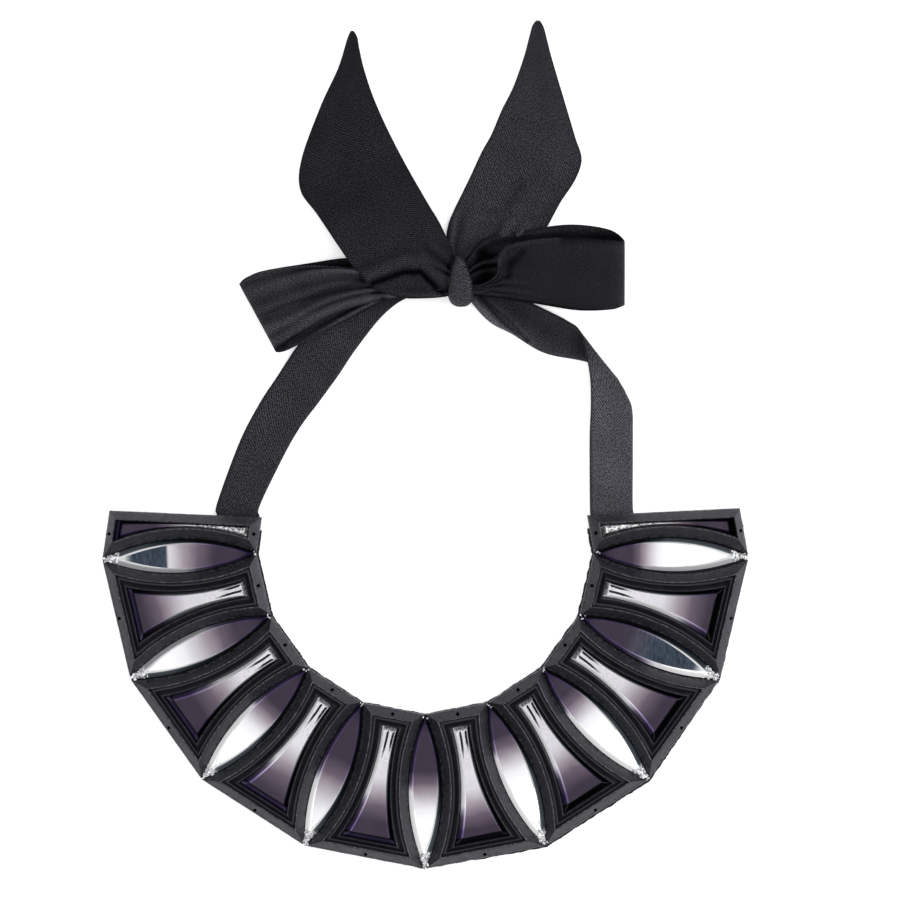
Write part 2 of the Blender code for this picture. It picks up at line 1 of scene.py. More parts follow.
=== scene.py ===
"""Looks of the bib necklace: moulded frames, mirrored stones, felt backing and a satin ribbon bow.

Every piece is drawn round the same ring as its solid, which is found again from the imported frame.
Units are metres and radians.
"""

import math
import random

import bmesh
import bpy
from mathutils import Matrix, Vector, noise


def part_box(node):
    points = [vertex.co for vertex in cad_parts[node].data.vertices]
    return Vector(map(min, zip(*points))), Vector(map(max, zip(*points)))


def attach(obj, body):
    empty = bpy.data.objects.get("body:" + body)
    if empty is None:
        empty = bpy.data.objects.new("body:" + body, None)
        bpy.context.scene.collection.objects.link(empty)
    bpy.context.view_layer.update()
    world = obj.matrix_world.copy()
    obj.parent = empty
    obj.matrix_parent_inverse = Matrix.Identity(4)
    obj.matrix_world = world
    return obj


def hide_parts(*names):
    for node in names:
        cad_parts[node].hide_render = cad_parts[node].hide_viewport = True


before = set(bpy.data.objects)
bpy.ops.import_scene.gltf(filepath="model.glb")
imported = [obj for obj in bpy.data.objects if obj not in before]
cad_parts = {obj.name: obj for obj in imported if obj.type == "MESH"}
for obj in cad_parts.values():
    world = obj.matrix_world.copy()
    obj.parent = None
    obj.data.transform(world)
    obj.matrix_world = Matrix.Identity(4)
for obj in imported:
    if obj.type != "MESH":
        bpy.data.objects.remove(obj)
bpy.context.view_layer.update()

# Seeds of what is drawn at random: the noise that roughens castings and stones, the felt's fibres
# and, from this number on, each stone's glue chips
NOISE_SEED = 1
FIBRE_SEED = 7
CHIP_SEED = 100
noise.seed_set(NOISE_SEED)

# Ring, the same sizes as the solids
INNER_RADIUS = 0.0676
PANEL_LENGTH = 0.0616
PANEL_COUNT = 8
GAP = 0.0003
BACKING_THICKNESS = 0.0012
BACKING_OVERHANG = 0.0008
OUTER_OVERHANG = 0.0002
BACKING_SAG = 0.0006
FRAME_HEIGHT = 0.0060
BAND_WIDTH = 0.0080
INNER_BAND = 0.0073
OUTER_BAND = 0.0070
NECK_WIDTH = 0.0054
WAIST_EASE = 0.0008
WAIST_SHARE = 0.20
HOLE_DIAMETER = 0.0014
INNER_HOLE_INSET = 0.0021
OUTER_HOLE_INSET = 0.0014
ARC_BAR = 0.0047
TOP_BAR = 0.0038
OUTER_BAR = 0.0034
INNER_BAR = 0.0046
HALF_NECK = 0.0016
LEFT_CUT_TILT = math.radians(4.9)
RIGHT_CUT_TILT = math.radians(3.4)
STONE_GIRDLE = 0.0020
STONE_CROWN = 0.0016
STONE_BEVEL = 0.0012
STONE_END_BEVEL = 0.0022
MARQUISE_WIDTH = 0.0136
MARQUISE_GIRDLE = 0.0024
MARQUISE_CROWN = 0.0020
MARQUISE_BEVEL = 0.0018
MARQUISE_INNER_TIP = 0.0032
MARQUISE_OUTER_TIP = 0.0074
LEFT_TURNS = (0.0, 0.0, 0.0, 0.0, 0.0, 0.4, 0.0, 0.0, 0.0)
RIGHT_TURNS = (0.0, 0.0, 0.0, 0.0, 0.0, 0.4, 0.0, 1.1, 0.5)

# Ribbon, the same sizes as the solids, with the cloth's own thickness
RIBBON_WIDTH = 0.038
RIBBON_SOLID = 0.0010
SATIN_THICKNESS = 0.0004
STRAP_WIDTH = 0.0168
STRAP_SOLID = 0.0012
STRAP_TUCK = 0.0050
STRAP_MARGIN = 0.0014
KNOT_WIDTH = 0.0108
KNOT_LENGTH = 0.0204
KNOT_HEIGHT = 0.0112

# Fineness
ARC_STEPS = 44
END_STEPS = 10
STONE_STEPS = 110
FRAME_FILLET = 0.00028
FILLET_SHARE = 0.4
FILLET_STEPS = 3
HOLE_SIDES = 18
ROW_STEPS = 12
CROSS_STEPS = 48
KNOT_RINGS = 40
KNOT_SPOKES = 96

# Weave, pleats and folds of the ribbon
TWILL_PITCH = 0.00115
YARN_PITCH = 0.00125
SELVEDGE = (0.0014, 0.0007)
PLEAT_COUNT = 4
PLEAT_START = 0.02
PLEAT_TWIST = 3.0
PLEAT_WARP = 0.16
CREASE_REACH = 2
CREASE_DEPTH = 0.0010
LOOP_TURN = (0.52, 0.70)
STRAP_SWELL = 0.0005
BOW_SWELL = 0.0006

# Frame section, from its outer edge to its opening. Insets as shares of the band's width at the
# sides, the inner end and the outer end, height as a share of the frame's height, and wear with
# painted highlight
FRAME_SECTION = (
    (0.00, 0.00, 0.00, 0.00, 0.0),
    (0.00, 0.00, 0.00, 0.32, 0.8),
    (0.03, 0.03, 0.03, 0.39, 0.7),
    (0.10, 0.12, 0.12, 0.48, 0.3),
    (0.39, 0.45, 0.45, 0.95, 0.1),
    (0.44, 0.50, 0.51, 1.00, 1.0),
    (0.48, 0.54, 0.55, 0.94, 0.2),
    (0.54, 0.60, 0.61, 0.42, 0.0),
    (0.66, 0.74, 0.72, 0.42, 0.0),
    (0.90, 0.93, 0.90, 0.71, 0.1),
    (0.94, 0.96, 0.94, 0.74, 0.3),
    (0.98, 0.98, 0.98, 0.60, 0.0),
    (1.00, 1.00, 1.00, 0.40, 0.0),
    (1.00, 1.00, 1.00, 0.00, 0.0),
)

# Half frame section: insets as a share of each bar's width, height, and wear with painted highlight
HALF_SECTION = [(share, share, share, level, wear_and_highlight) for share, level, wear_and_highlight in (
    (0.00, 0.00, 0.0), (0.00, 0.33, 0.8), (0.06, 0.41, 0.6), (0.50, 0.74, 0.1), (0.80, 0.97, 0.2),
    (0.86, 1.00, 1.0), (0.97, 0.92, 0.2), (1.00, 0.76, 0.0), (1.00, 0.00, 0.0),
)]

# Wear with painted highlight at the rims of a rounded corner, as a share of that on the corner
RIM_WEAR_AND_HIGHLIGHT = 0.4

# How a hand-finished casting strays from its drawing: long waves, short chips, and how far
CASTING_WAVES = 260.0
CASTING_CHIPS = 1100.0
CASTING_ERROR = 0.00007

# Values worked out from the sizes above
LAYER = RIBBON_SOLID + 2 * GAP
OUTER_RADIUS = INNER_RADIUS + PANEL_LENGTH
MID_RADIUS = (INNER_RADIUS + OUTER_RADIUS) / 2
FRAME_FLOOR = BACKING_THICKNESS + GAP
LENS_HALF = MARQUISE_WIDTH / 2
LENS_RADIUS = (PANEL_LENGTH ** 2 / 4 + LENS_HALF ** 2) / MARQUISE_WIDTH
WAIST = PANEL_LENGTH * WAIST_SHARE
WAIST_BULGE = (
    math.sqrt(LENS_RADIUS ** 2 - (PANEL_LENGTH / 2 - WAIST) ** 2) - LENS_RADIUS + LENS_HALF
)
HALF_PITCH = math.asin((NECK_WIDTH / 2 + BAND_WIDTH + WAIST_BULGE) / (INNER_RADIUS + WAIST))
PITCH = 2 * HALF_PITCH
INNER_EDGE = INNER_RADIUS * math.cos(HALF_PITCH)
OUTER_EDGE = OUTER_RADIUS * math.cos(HALF_PITCH)
ARC_CENTRE = Matrix.Rotation(HALF_PITCH, 2) @ Vector((MID_RADIUS, LENS_RADIUS - LENS_HALF))
BOTTOM_ANGLE = -math.pi / 2
HALVES = (0, PANEL_COUNT + 1)

# The ring's centre and the knot's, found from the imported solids
middle_low, middle_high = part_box("marquise_stone_05")
RING_CENTRE = Vector((
    (middle_low.x + middle_high.x) / 2,
    middle_low.y + OUTER_RADIUS - GAP,
    0.0,
))
knot_low, knot_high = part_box("bow_knot")
KNOT_CENTRE = ((knot_low + knot_high) / 2).xy

# Where on the stones' colour ramp violet turns to silver
OMBRE_TURN = 0.60

# Painted glow: light that the lit bevels of the clear acrylic give off, as a painted highlight
EDGE_GLOW = 0.30

# How a mirrored surface looks under the dome: its own colour times this, plus the gloss on it
DOME_GAIN = 1.10
DOME_GLOSS = 0.018

# Camera: straight above, as in the photograph
CAMERA_HEIGHT = 1.5
CAMERA_LENS = 150
CAMERA_AIM = RING_CENTRE + Vector((0.0099, 0.0380, 0.0))

# Key light, low from the right and aimed at the necklace
KEY_PLACE = Vector((1.3, 0.25, 0.65))
KEY_SIZE = (0.9, 0.9)
KEY_WATTS = 9.0


def unit(angle):
    return Vector((math.cos(angle), math.sin(angle)))


def up(height):
    return Vector((0.0, 0.0, height))


def mix(start, stop, share):
    return start + (stop - start) * share


def smooth_step(low, high, value):
    share = min(max((value - low) / (high - low), 0.0), 1.0)
    return share * share * (3 - 2 * share)


def linear(code):
    """A six digit colour code as linear red, green and blue."""
    levels = [int(code[at:at + 2], 16) / 255 for at in (0, 2, 4)]
    return [v / 12.92 if v <= 0.04045 else ((v + 0.055) / 1.055) ** 2.4 for v in levels]


def seen(code):
    """The colour of a mirrored surface that looks like this code under the bright dome."""
    return [max(level - DOME_GLOSS, 0.002) / DOME_GAIN for level in linear(code)]


# Tones of a stone from violet to silver, as they look: its table, its lit bevels with painted
# highlight and its dull ones with painted shade
TABLE_TONES = (
    (0.00, "232128"), (0.25, "3f3743"), (0.42, "645965"), (0.55, "988e99"),
    (0.68, "c3bfc7"), (0.80, "e2e1e6"), (1.00, "f4f4f6"),
)
LIT_TONES = (
    (0.00, "3a2f50"), (0.25, "635683"), (0.42, "b5a9cb"), (0.56, "f6f4f9"), (0.80, "ffffff"),
)
DULL_TONES = (
    (0.00, "0c0b0f"), (0.42, "15141a"), (0.60, "2a3038"), (0.85, "3f464e"), (1.00, "5a6068"),
)


# Node helpers


def new_material(name):
    material = bpy.data.materials.new(name)
    material.use_nodes = True
    return material, material.node_tree, material.node_tree.nodes["Principled BSDF"]


def put_inputs(tree, node, values):
    """Sets a node's inputs, by name or number: each a socket, a number or a linear colour."""
    for key, value in values.items():
        socket = node.inputs[key]
        if isinstance(value, bpy.types.NodeSocket):
            tree.links.new(value, socket)
        else:
            socket.default_value = (*value, 1.0) if socket.type == "RGBA" else value


def add_node(tree, kind, settings=None, values=None):
    node = tree.nodes.new(kind)
    for key, value in (settings or {}).items():
        setattr(node, key, value)
    put_inputs(tree, node, values or {})
    return node


def attribute(tree, name):
    return add_node(tree, "ShaderNodeAttribute", {"attribute_name": name}).outputs["Fac"]


def coordinates(tree, name="Object"):
    return add_node(tree, "ShaderNodeTexCoord").outputs[name]


def ramp(tree, factor, stops):
    node = add_node(tree, "ShaderNodeValToRGB", values={"Fac": factor})
    elements = node.color_ramp.elements
    while len(elements) < len(stops):
        elements.new(0.5)
    for element, (position, colour) in zip(elements, stops):
        element.position = position
        element.color = (*colour, 1.0)
    return node.outputs["Color"]


def grey_ramp(tree, factor, stops):
    return ramp(tree, factor, [(position, (level,) * 3) for position, level in stops])


def maths(tree, operation, first, second=0.0):
    return add_node(
        tree, "ShaderNodeMath", {"operation": operation}, {0: first, 1: second}
    ).outputs[0]


def times(tree, first, second):
    return maths(tree, "MULTIPLY", first, second)


def mix_colour(tree, factor, first, second):
    """Mixes two colours, each a socket or a linear colour."""
    return add_node(
        tree, "ShaderNodeMix", {"data_type": "RGBA"}, {0: factor, 6: first, 7: second}
    ).outputs[2]


def noise_of(tree, vector, scale, detail=4.0, roughness=0.6):
    return add_node(tree, "ShaderNodeTexNoise", values={
        "Vector": vector, "Scale": scale, "Detail": detail, "Roughness": roughness,
    }).outputs["Fac"]


def stretched(tree, vector, scale, turn=0.0):
    return add_node(tree, "ShaderNodeMapping", values={
        "Vector": vector, "Scale": scale, "Rotation": (0.0, 0.0, turn),
    }).outputs["Vector"]


def bump(tree, height, distance, strength=1.0, before=None):
    values = {"Height": height, "Distance": distance, "Strength": strength}
    if before is not None:
        values["Normal"] = before
    return add_node(tree, "ShaderNodeBump", values=values).outputs["Normal"]


# Materials


def resin_material():
    """Cast black resin, dull on its slopes, with pale wear and a painted highlight along its ridges.
    """
    material, tree, shader = new_material("cast_resin")
    place = coordinates(tree)
    cloud = noise_of(tree, place, 90.0, 6.0)
    colour = ramp(tree, cloud, [(0.30, linear("0a0a0f")), (0.70, linear("16161c"))])
    # Painted highlight and pale wear: ridges and rims lightened where the section marks them, broken
    # up by noise
    patchiness = grey_ramp(tree, noise_of(tree, place, 800.0, 5.0), [(0.42, 0.0), (0.62, 1.0)])
    uneven_tone = times(tree, times(tree, attribute(tree, "wear_and_highlight"), patchiness), 0.7)
    soft = bump(tree, noise_of(tree, place, 420.0, 4.0), 0.00010, 0.5)
    put_inputs(tree, shader, {
        "Base Color": mix_colour(tree, uneven_tone, colour, linear("717177")),
        "Specular Tint": (0.90, 0.89, 1.0),
        "Roughness": grey_ramp(tree, noise_of(tree, place, 260.0), [(0.3, 0.36), (0.7, 0.54)]),
        "Normal": bump(tree, noise_of(tree, place, 2100.0, 3.0), 0.00004, 0.7, soft),
    })
    return material


def stone_material():
    """Mirror-backed acrylic that fades from smoky violet to clear silver."""
    material, tree, shader = new_material("mirror_stone")
    place = coordinates(tree)
    cloud = maths(tree, "SUBTRACT", noise_of(tree, place, 70.0), 0.5)
    ombre = maths(tree, "ADD", attribute(tree, "ombre"), times(tree, cloud, 0.14))
    table, bright, dull = (
        ramp(tree, ombre, [(position, seen(code)) for position, code in tones])
        for tones in (TABLE_TONES, LIT_TONES, DULL_TONES)
    )
    bevel, glow, crumb = (attribute(tree, name) for name in ("bevel", "glow", "crumb"))
    flecks = grey_ramp(tree, noise_of(tree, place, 950.0, 5.0), [(0.40, 0.0), (0.56, 1.0)])
    streaks = noise_of(tree, stretched(tree, place, (900.0, 300.0, 300.0)), 1.0, 6.0)
    streaks = grey_ramp(tree, streaks, [(0.35, 0.0), (0.75, 1.0)])
    colour = table
    for share, over in (
        # Painted highlight on lit bevels and painted shade on dull ones
        (bevel, mix_colour(tree, glow, dull, bright)),
        (crumb, mix_colour(tree, flecks, seen("6c6c72"), seen("ffffff"))),
        # Painted reflection: dark slate streaks on two of the marquises
        (attribute(tree, "painted_reflection"), mix_colour(tree, streaks, seen("2c333e"), seen("4a5461"))),
        # Painted shade: the slits near black
        (attribute(tree, "slit_shade"), linear("0c0c0e")),
    ):
        colour = mix_colour(tree, share, colour, over)
    scratch = noise_of(tree, stretched(tree, place, (700.0, 90.0, 90.0), 0.6), 1.0, 5.0)
    ripple = bump(tree, noise_of(tree, place, 130.0, 2.0), 0.00008, 0.35)
    chips = times(tree, noise_of(tree, place, 1000.0, 3.0), crumb)
    put_inputs(tree, shader, {
        "Base Color": colour,
        "Metallic": 0.45,
        "Specular IOR Level": 0.2,
        "Coat Weight": 0.12,
        "Coat Roughness": 0.04,
        # Painted highlight: the lit bevels glow
        "Emission Color": bright,
        "Emission Strength": times(tree, times(tree, glow, bevel), EDGE_GLOW),
        "Roughness": grey_ramp(tree, scratch, [(0.35, 0.06), (0.75, 0.20)]),
        "Normal": bump(tree, chips, 0.0004, 1.0, ripple),
    })
    return material


def clear_material():
    """Set drops of clear glue and splinters of acrylic, with dark and bright glints."""
    material, tree, shader = new_material("clear_glue")
    glints = noise_of(tree, coordinates(tree), 1300.0, 4.0, 0.7)
    put_inputs(tree, shader, {
        "Base Color": ramp(tree, glints, [
            (0.34, linear("3a3b40")), (0.46, linear("8d8f95")), (0.56, linear("e9eaec")),
            (0.70, linear("ffffff")),
        ]),
        "Metallic": 0.3,
        "Coat Weight": 1.0,
        "Coat Roughness": 0.03,
        "Roughness": grey_ramp(tree, glints, [(0.3, 0.05), (0.7, 0.25)]),
        "Normal": bump(tree, glints, 0.0002, 0.8),
    })
    return material


def satin_material(name, dark, light, sheen, gloss):
    """Black ribbon: grainy slanting ribs, a denser selvedge, painted shade and highlight that follow
    its folds, and broad random patches of painted shade.
    """
    material, tree, shader = new_material(name)
    place = add_node(tree, "ShaderNodeUVMap", {"uv_map": "cloth"}).outputs["UV"]
    split = add_node(tree, "ShaderNodeSeparateXYZ", values={"Vector": place}).outputs
    wobble = times(tree, noise_of(tree, place, 240.0, 2.0), 0.0004)
    across = maths(tree, "ADD", split["X"], wobble)
    waves = []
    for slant, pitch, height in (("ADD", TWILL_PITCH, 0.50), ("SUBTRACT", YARN_PITCH, 0.35)):
        slanting = maths(tree, slant, across, split["Y"])
        wave = maths(tree, "SINE", times(tree, slanting, 2 * math.pi / pitch))
        waves.append(maths(tree, "ADD", times(tree, wave, height), 1.0 - height))
    fuzz = grey_ramp(tree, noise_of(tree, place, 1500.0, 3.0), [(0.35, 0.0), (0.65, 1.0)])
    grain = times(tree, maths(tree, "ADD", times(tree, *waves), fuzz), 0.5)
    # Broad random patches of painted shade
    uneven_tone = grey_ramp(tree, noise_of(tree, place, 34.0, 3.0), [(0.30, 0.60), (0.70, 1.0)])
    # Painted shade in folds and hollows and painted highlight on ridges and rolled edges; it also
    # dims the gloss in the folds
    folds = grey_ramp(tree, attribute(tree, "crease"), [(0.0, 0.05), (0.5, 0.62), (1.0, 1.0)])
    colour = ramp(tree, grain, [(0.20, linear(dark)), (0.72, linear(light))])
    colour = mix_colour(tree, times(tree, uneven_tone, folds), linear("020203"), colour)
    edge = times(tree, attribute(tree, "selvedge"), 0.5)
    shine = grey_ramp(tree, grain, [(0.2, 0.7 * gloss), (0.75, 2.5 * gloss)])
    weave = bump(tree, grain, 0.00040)
    put_inputs(tree, shader, {
        "Base Color": mix_colour(tree, edge, colour, linear("08080a")),
        "Roughness": grey_ramp(tree, grain, [(0.0, 0.60), (1.0, 0.42)]),
        "Sheen Weight": sheen,
        "Sheen Roughness": 0.45,
        "Sheen Tint": (0.75, 0.75, 0.85),
        "Specular Tint": (0.90, 0.87, 1.0),
        "Specular IOR Level": times(tree, folds, shine),
        "Normal": bump(tree, noise_of(tree, place, 160.0), 0.0005, 0.4, weave),
    })
    return material


def felt_material():
    """Black felt, matted and a little dusty."""
    material, tree, shader = new_material("black_felt")
    place = coordinates(tree)
    fibres = noise_of(tree, place, 1500.0, 6.0, 0.75)
    lumps = bump(tree, noise_of(tree, place, 350.0, 5.0), 0.0005, 0.7)
    put_inputs(tree, shader, {
        "Base Color": ramp(tree, fibres, [(0.35, linear("08080a")), (0.72, linear("2b2b30"))]),
        "Roughness": 0.92,
        "Sheen Weight": 0.25,
        "Normal": bump(tree, fibres, 0.0003, 0.8, lumps),
    })
    return material


RESIN = resin_material()
STONE = stone_material()
CLEAR = clear_material()
# Lit and shaded copies of one black satin: painted shade on the darkest, painted highlight on the
# lighter ones
SATIN_PAINTED_SHADE = satin_material("ribbon_satin_painted_shade", "060608", "2c2b32", 0.01, 0.20)
SATIN = satin_material("ribbon_satin", "0d0d10", "504f57", 0.02, 0.245)
SATIN_PAINTED_HALF_LIGHT = satin_material("ribbon_satin_painted_half_light", "17171b", "5d5b63", 0.03, 0.22)
SATIN_PAINTED_LIGHT = satin_material("ribbon_satin_painted_light", "2a292e", "817f88", 0.06, 0.25)
FELT = felt_material()


# Mesh helpers


def add_piece(name, mesh, material, nodes):
    """Adds one shown piece, with its finish, that stands for its CAD nodes."""
    piece = bpy.data.objects.new(name, mesh)
    bpy.context.scene.collection.objects.link(piece)
    mesh.materials.append(material)
    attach(piece, "root")
    if nodes:
        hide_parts(*nodes)
    return piece


def mesh_of(name, work):
    mesh = bpy.data.meshes.new(name)
    work.to_mesh(mesh)
    work.free()
    return mesh


def finish_mesh(name, work, sharp_angle):
    """Turns a bmesh into a mesh, smooth but for the edges sharper than an angle."""
    bmesh.ops.recalc_face_normals(work, faces=work.faces)
    mesh = mesh_of(name, work)
    mesh.shade_smooth()
    mesh.set_sharp_from_angle(angle=math.radians(sharp_angle))
    return mesh


def set_values(mesh, name, values):
    layer = mesh.attributes.new(name, "FLOAT", "POINT")
    layer.data.foreach_set("value", values)


def set_cloth(mesh, flat):
    """Keeps where each point lies on the flat cloth, as the mesh's UVs."""
    layer = mesh.uv_layers.new(name="cloth")
    for loop in mesh.loops:
        layer.data[loop.index].uv = flat[loop.vertex_index]


def skin(name, loops, ring, sharp_angle=28.0):
    """Skins closed loops with the same number of points; values are set later, in that order."""
    work = bmesh.new()
    rows = [[work.verts.new(point) for point in loop] for loop in loops]
    for lower, upper in zip(rows, rows[1:] + (rows[:1] if ring else [])):
        for index in range(len(lower)):
            after = (index + 1) % len(lower)
            work.faces.new((lower[index], lower[after], upper[after], upper[index]))
    if not ring:
        for row in (rows[0], rows[-1]):
            work.faces.new(row)
    return finish_mesh(name, work, sharp_angle)


def moved(loops, place):
    return [[place @ point for point in loop] for loop in loops]


# Layout, as in the solids


def arc_offset(x, inset):
    radius = LENS_RADIUS + GAP / 2 + inset
    return ARC_CENTRE.y - math.sqrt(radius ** 2 - (x - ARC_CENTRE.x) ** 2)


def stations(start, stop, steps=ARC_STEPS):
    return [mix(start, stop, step / steps) for step in range(steps + 1)]


def turned(angle, pivot):
    move = Matrix.Translation((pivot.x, pivot.y, 0.0))
    return move @ Matrix.Rotation(angle, 4, "Z") @ move.inverted()


def placed_chain(side, turns):
    swing = Matrix.Identity(4)
    places = []
    for step, turn in enumerate(turns, 1):
        even_angle = BOTTOM_ANGLE + side * step * HALF_PITCH
        tip = unit(BOTTOM_ANGLE + side * (step // 2) * PITCH) * INNER_RADIUS
        pivot = swing @ Vector((tip.x, tip.y, 0.0))
        swing = turned(side * math.radians(turn), pivot) @ swing
        places.append(swing @ Matrix.Rotation(even_angle, 4, "Z"))
    return places


def layout():
    """The places of all the frames and of all the stones between them, from left to right."""
    left, right = placed_chain(-1, LEFT_TURNS), placed_chain(1, RIGHT_TURNS)
    middle = Matrix.Rotation(BOTTOM_ANGLE, 4, "Z")
    centre = Matrix.Translation(RING_CENTRE)
    panels = [centre @ place for place in left[0::2][::-1] + right[0::2]]
    stones = [centre @ place for place in left[1::2][::-1] + [middle] + right[1::2]]
    return panels, stones


PANELS, STONES = layout()


def half_panel(index):
    return (LEFT_CUT_TILT, -1) if index == 0 else (RIGHT_CUT_TILT, 1)


def cut_line(tilt):
    axis = Vector((math.cos(HALF_PITCH), -math.sin(HALF_PITCH)))
    across = Vector((math.sin(HALF_PITCH), math.cos(HALF_PITCH)))
    height = LENS_HALF + GAP / 2 + ARC_BAR + HALF_NECK + TOP_BAR
    along = axis * math.cos(tilt) + across * math.sin(tilt)
    return axis * MID_RADIUS + across * height, along


def cut_height(x, tilt, inset):
    point, along = cut_line(tilt)
    return point.y + (x - point.x) * along.y / along.x - inset / along.x


# Frames


def filleted(section, side_width, inner_width, outer_width):
    """A section in metres with its corners rounded: side inset, height, end insets, and wear with
    painted highlight.
    """
    points = [
        Vector((side * side_width, level * FRAME_HEIGHT, inner * inner_width,
                outer * outer_width, wear_and_highlight))
        for side, inner, outer, level, wear_and_highlight in section
    ]
    result = [points[0]]
    for before, corner, after in zip(points, points[1:], points[2:]):
        back, on = before - corner, after - corner
        reach = min(FRAME_FILLET, FILLET_SHARE * back.xy.length, FILLET_SHARE * on.xy.length)
        start = corner + back * (reach / back.xy.length)
        stop = corner + on * (reach / on.xy.length)
        for step in range(FILLET_STEPS + 1):
            share = step / FILLET_STEPS
            result.append(start.lerp(corner, share).lerp(corner.lerp(stop, share), share))
            result[-1][4] = corner[4] * (1.0 if 0 < step < FILLET_STEPS else RIM_WEAR_AND_HIGHLIGHT)
    result.append(points[-1])
    return result


def side_loop(rows, height, flip):
    """A closed loop of points round a panel, with extra points across its two ends."""
    out = [Vector((x, flip * low, height)) for x, low, high in rows]
    back = [Vector((x, flip * high, height)) for x, low, high in reversed(rows)]
    loop = []
    for side, following in ((out, back), (back, out)):
        loop += side
        loop += [side[-1].lerp(following[0], step / END_STEPS) for step in range(1, END_STEPS)]
    return loop


def full_rows(side, inner, outer):
    """The sides of a full panel, each taken in; the opening is a little easier at the waist."""
    rows = []
    for x in stations(INNER_EDGE + inner, OUTER_EDGE - outer):
        share = (x - INNER_EDGE) / (OUTER_EDGE - INNER_EDGE)
        ease = WAIST_EASE * math.sin(math.pi * share) * min(side / BAND_WIDTH, 1.0) ** 2
        reach = arc_offset(x, side - ease)
        rows.append((x, -reach, reach))
    return rows


def half_rows(share, tilt, extra=0.0):
    """The sides of a half panel, taken in by a share of each bar's width."""
    start = INNER_EDGE + INNER_BAR * share + extra
    stop = OUTER_EDGE - OUTER_BAR * share - extra
    return [
        (x, -arc_offset(x, ARC_BAR * share + extra), cut_height(x, tilt, TOP_BAR * share + extra))
        for x in stations(start, stop)
    ]


def roughened(loops, seed, amount):
    """Moves points a little, as in a hand-finished casting."""
    shift = Vector((seed * 3.1, seed * 1.7, 0.4))
    result = []
    for loop in loops:
        row = []
        for point in loop:
            wave = noise.noise_vector(point * CASTING_WAVES + shift) * amount
            chip = noise.noise_vector(point * CASTING_CHIPS + shift) * amount * 0.6
            row.append(point + wave + chip)
        result.append(row)
    return result


def hole_spots(index):
    ends = (INNER_EDGE + INNER_HOLE_INSET, OUTER_EDGE - OUTER_HOLE_INSET)
    if index not in HALVES:
        return [(x, 0.0) for x in ends]
    tilt, flip = half_panel(index)
    return [(x, flip * (cut_height(x, tilt, 0.0) - arc_offset(x, 0.0)) / 2) for x in ends]


def drill(piece, place, spots):
    """Bores the sewing holes through a frame's end bars."""
    work = bmesh.new()
    for x, y in spots:
        bmesh.ops.create_cone(
            work, cap_ends=True, segments=HOLE_SIDES, radius1=HOLE_DIAMETER / 2,
            radius2=HOLE_DIAMETER / 2, depth=4 * FRAME_HEIGHT,
            matrix=place @ Matrix.Translation((x, y, FRAME_FLOOR)),
        )
    cutter = bpy.data.objects.new("hole_cutter", mesh_of("hole_cutter", work))
    bpy.context.scene.collection.objects.link(cutter)
    cut = piece.modifiers.new("holes", "BOOLEAN")
    cut.operation, cut.solver, cut.object = "DIFFERENCE", "EXACT", cutter
    bpy.context.view_layer.update()
    bored = piece.evaluated_get(bpy.context.evaluated_depsgraph_get())
    mesh = bpy.data.meshes.new_from_object(bored)
    piece.modifiers.clear()
    piece.data = mesh
    bpy.data.objects.remove(cutter)


def build_frame(index):
    node = f"frame_{index + 1:02d}"
    end = index in HALVES
    tilt, flip = half_panel(index) if end else (0.0, 1)
    if end:
        section = filleted(HALF_SECTION, ARC_BAR, ARC_BAR, ARC_BAR)
    else:
        section = filleted(FRAME_SECTION, BAND_WIDTH, INNER_BAND, OUTER_BAND)
    loops, wear_and_highlight = [], []
    for side, height, inner, outer, uneven_tone in section:
        rows = half_rows(side / ARC_BAR, tilt) if end else full_rows(side, inner, outer)
        loops.append(side_loop(rows, FRAME_FLOOR + height, flip))
        wear_and_highlight += [uneven_tone] * len(loops[-1])
    place = PANELS[index]
    mesh = skin(f"moulded_{node}", roughened(moved(loops, place), index, CASTING_ERROR), ring=True)
    # Pale wear and painted highlight along the ridges and rims
    set_values(mesh, "wear_and_highlight", wear_and_highlight)
    piece = add_piece(f"moulded_{node}", mesh, RESIN, [node])
    drill(piece, place, hole_spots(index))


# Stones


# Where each stone turns from violet to silver, and how softly: from the inner tip on a marquise and
# from the inner end on a bar stone, from left to right
MARQUISE_FADES = (
    (0.49, 0.62), (0.47, 0.66), (0.445, 0.38), (0.61, 0.66), (0.52, 0.45),
    (0.375, 0.43), (0.36, 0.40), (0.62, 0.80), (0.345, 0.30),
)
BAR_FADES = (
    (0.50, 0.60), (0.64, 0.80), (0.48, 0.95), (0.58, 0.95), (0.55, 0.80),
    (0.64, 0.75), (0.57, 0.90), (0.59, 0.80), (0.62, 0.85), (0.52, 0.60),
)
INNER_TIP_SHADE = 0.14
DEEPEST_OMBRE = 0.25
PALEST_BAR = 0.73

# A dark reflection is painted on two of the marquise stones: from where to where along them it fades
# in, and where it fades out again
PAINTED_REFLECTION_STARTS = {0: (0.565, 0.585), 7: (0.28, 0.54)}
NO_PAINTED_REFLECTION = (2.0, 2.1)
PAINTED_REFLECTION_END = (0.80, 0.90)

# Facets that face this way get a painted highlight, as if lit from under the stone, and those facing
# away painted shade; a dull bevel keeps some painted highlight on the thin line of its edge
GLOW_WAY = Vector((-0.97, -0.25, 0.0))
DULL_LINE = 0.55
VIOLET_GLOW = 0.45

# Marquise: least half widths of its tips and its table, how far its faces bulge, and its rough end
TIP_HALF = 0.00008
TABLE_HALF = 0.00002
BEVEL_BULGE = 0.00022
TABLE_BULGE = 0.00016
ROUGH_TIP = (0.98, 0.70)

# Glue chips at the marquise's tips
CHIP_SIZE = 0.00062
TIP_CHIPS = 16
INNER_CHIPS = 4
INNER_CHIP_SIZE = 0.6

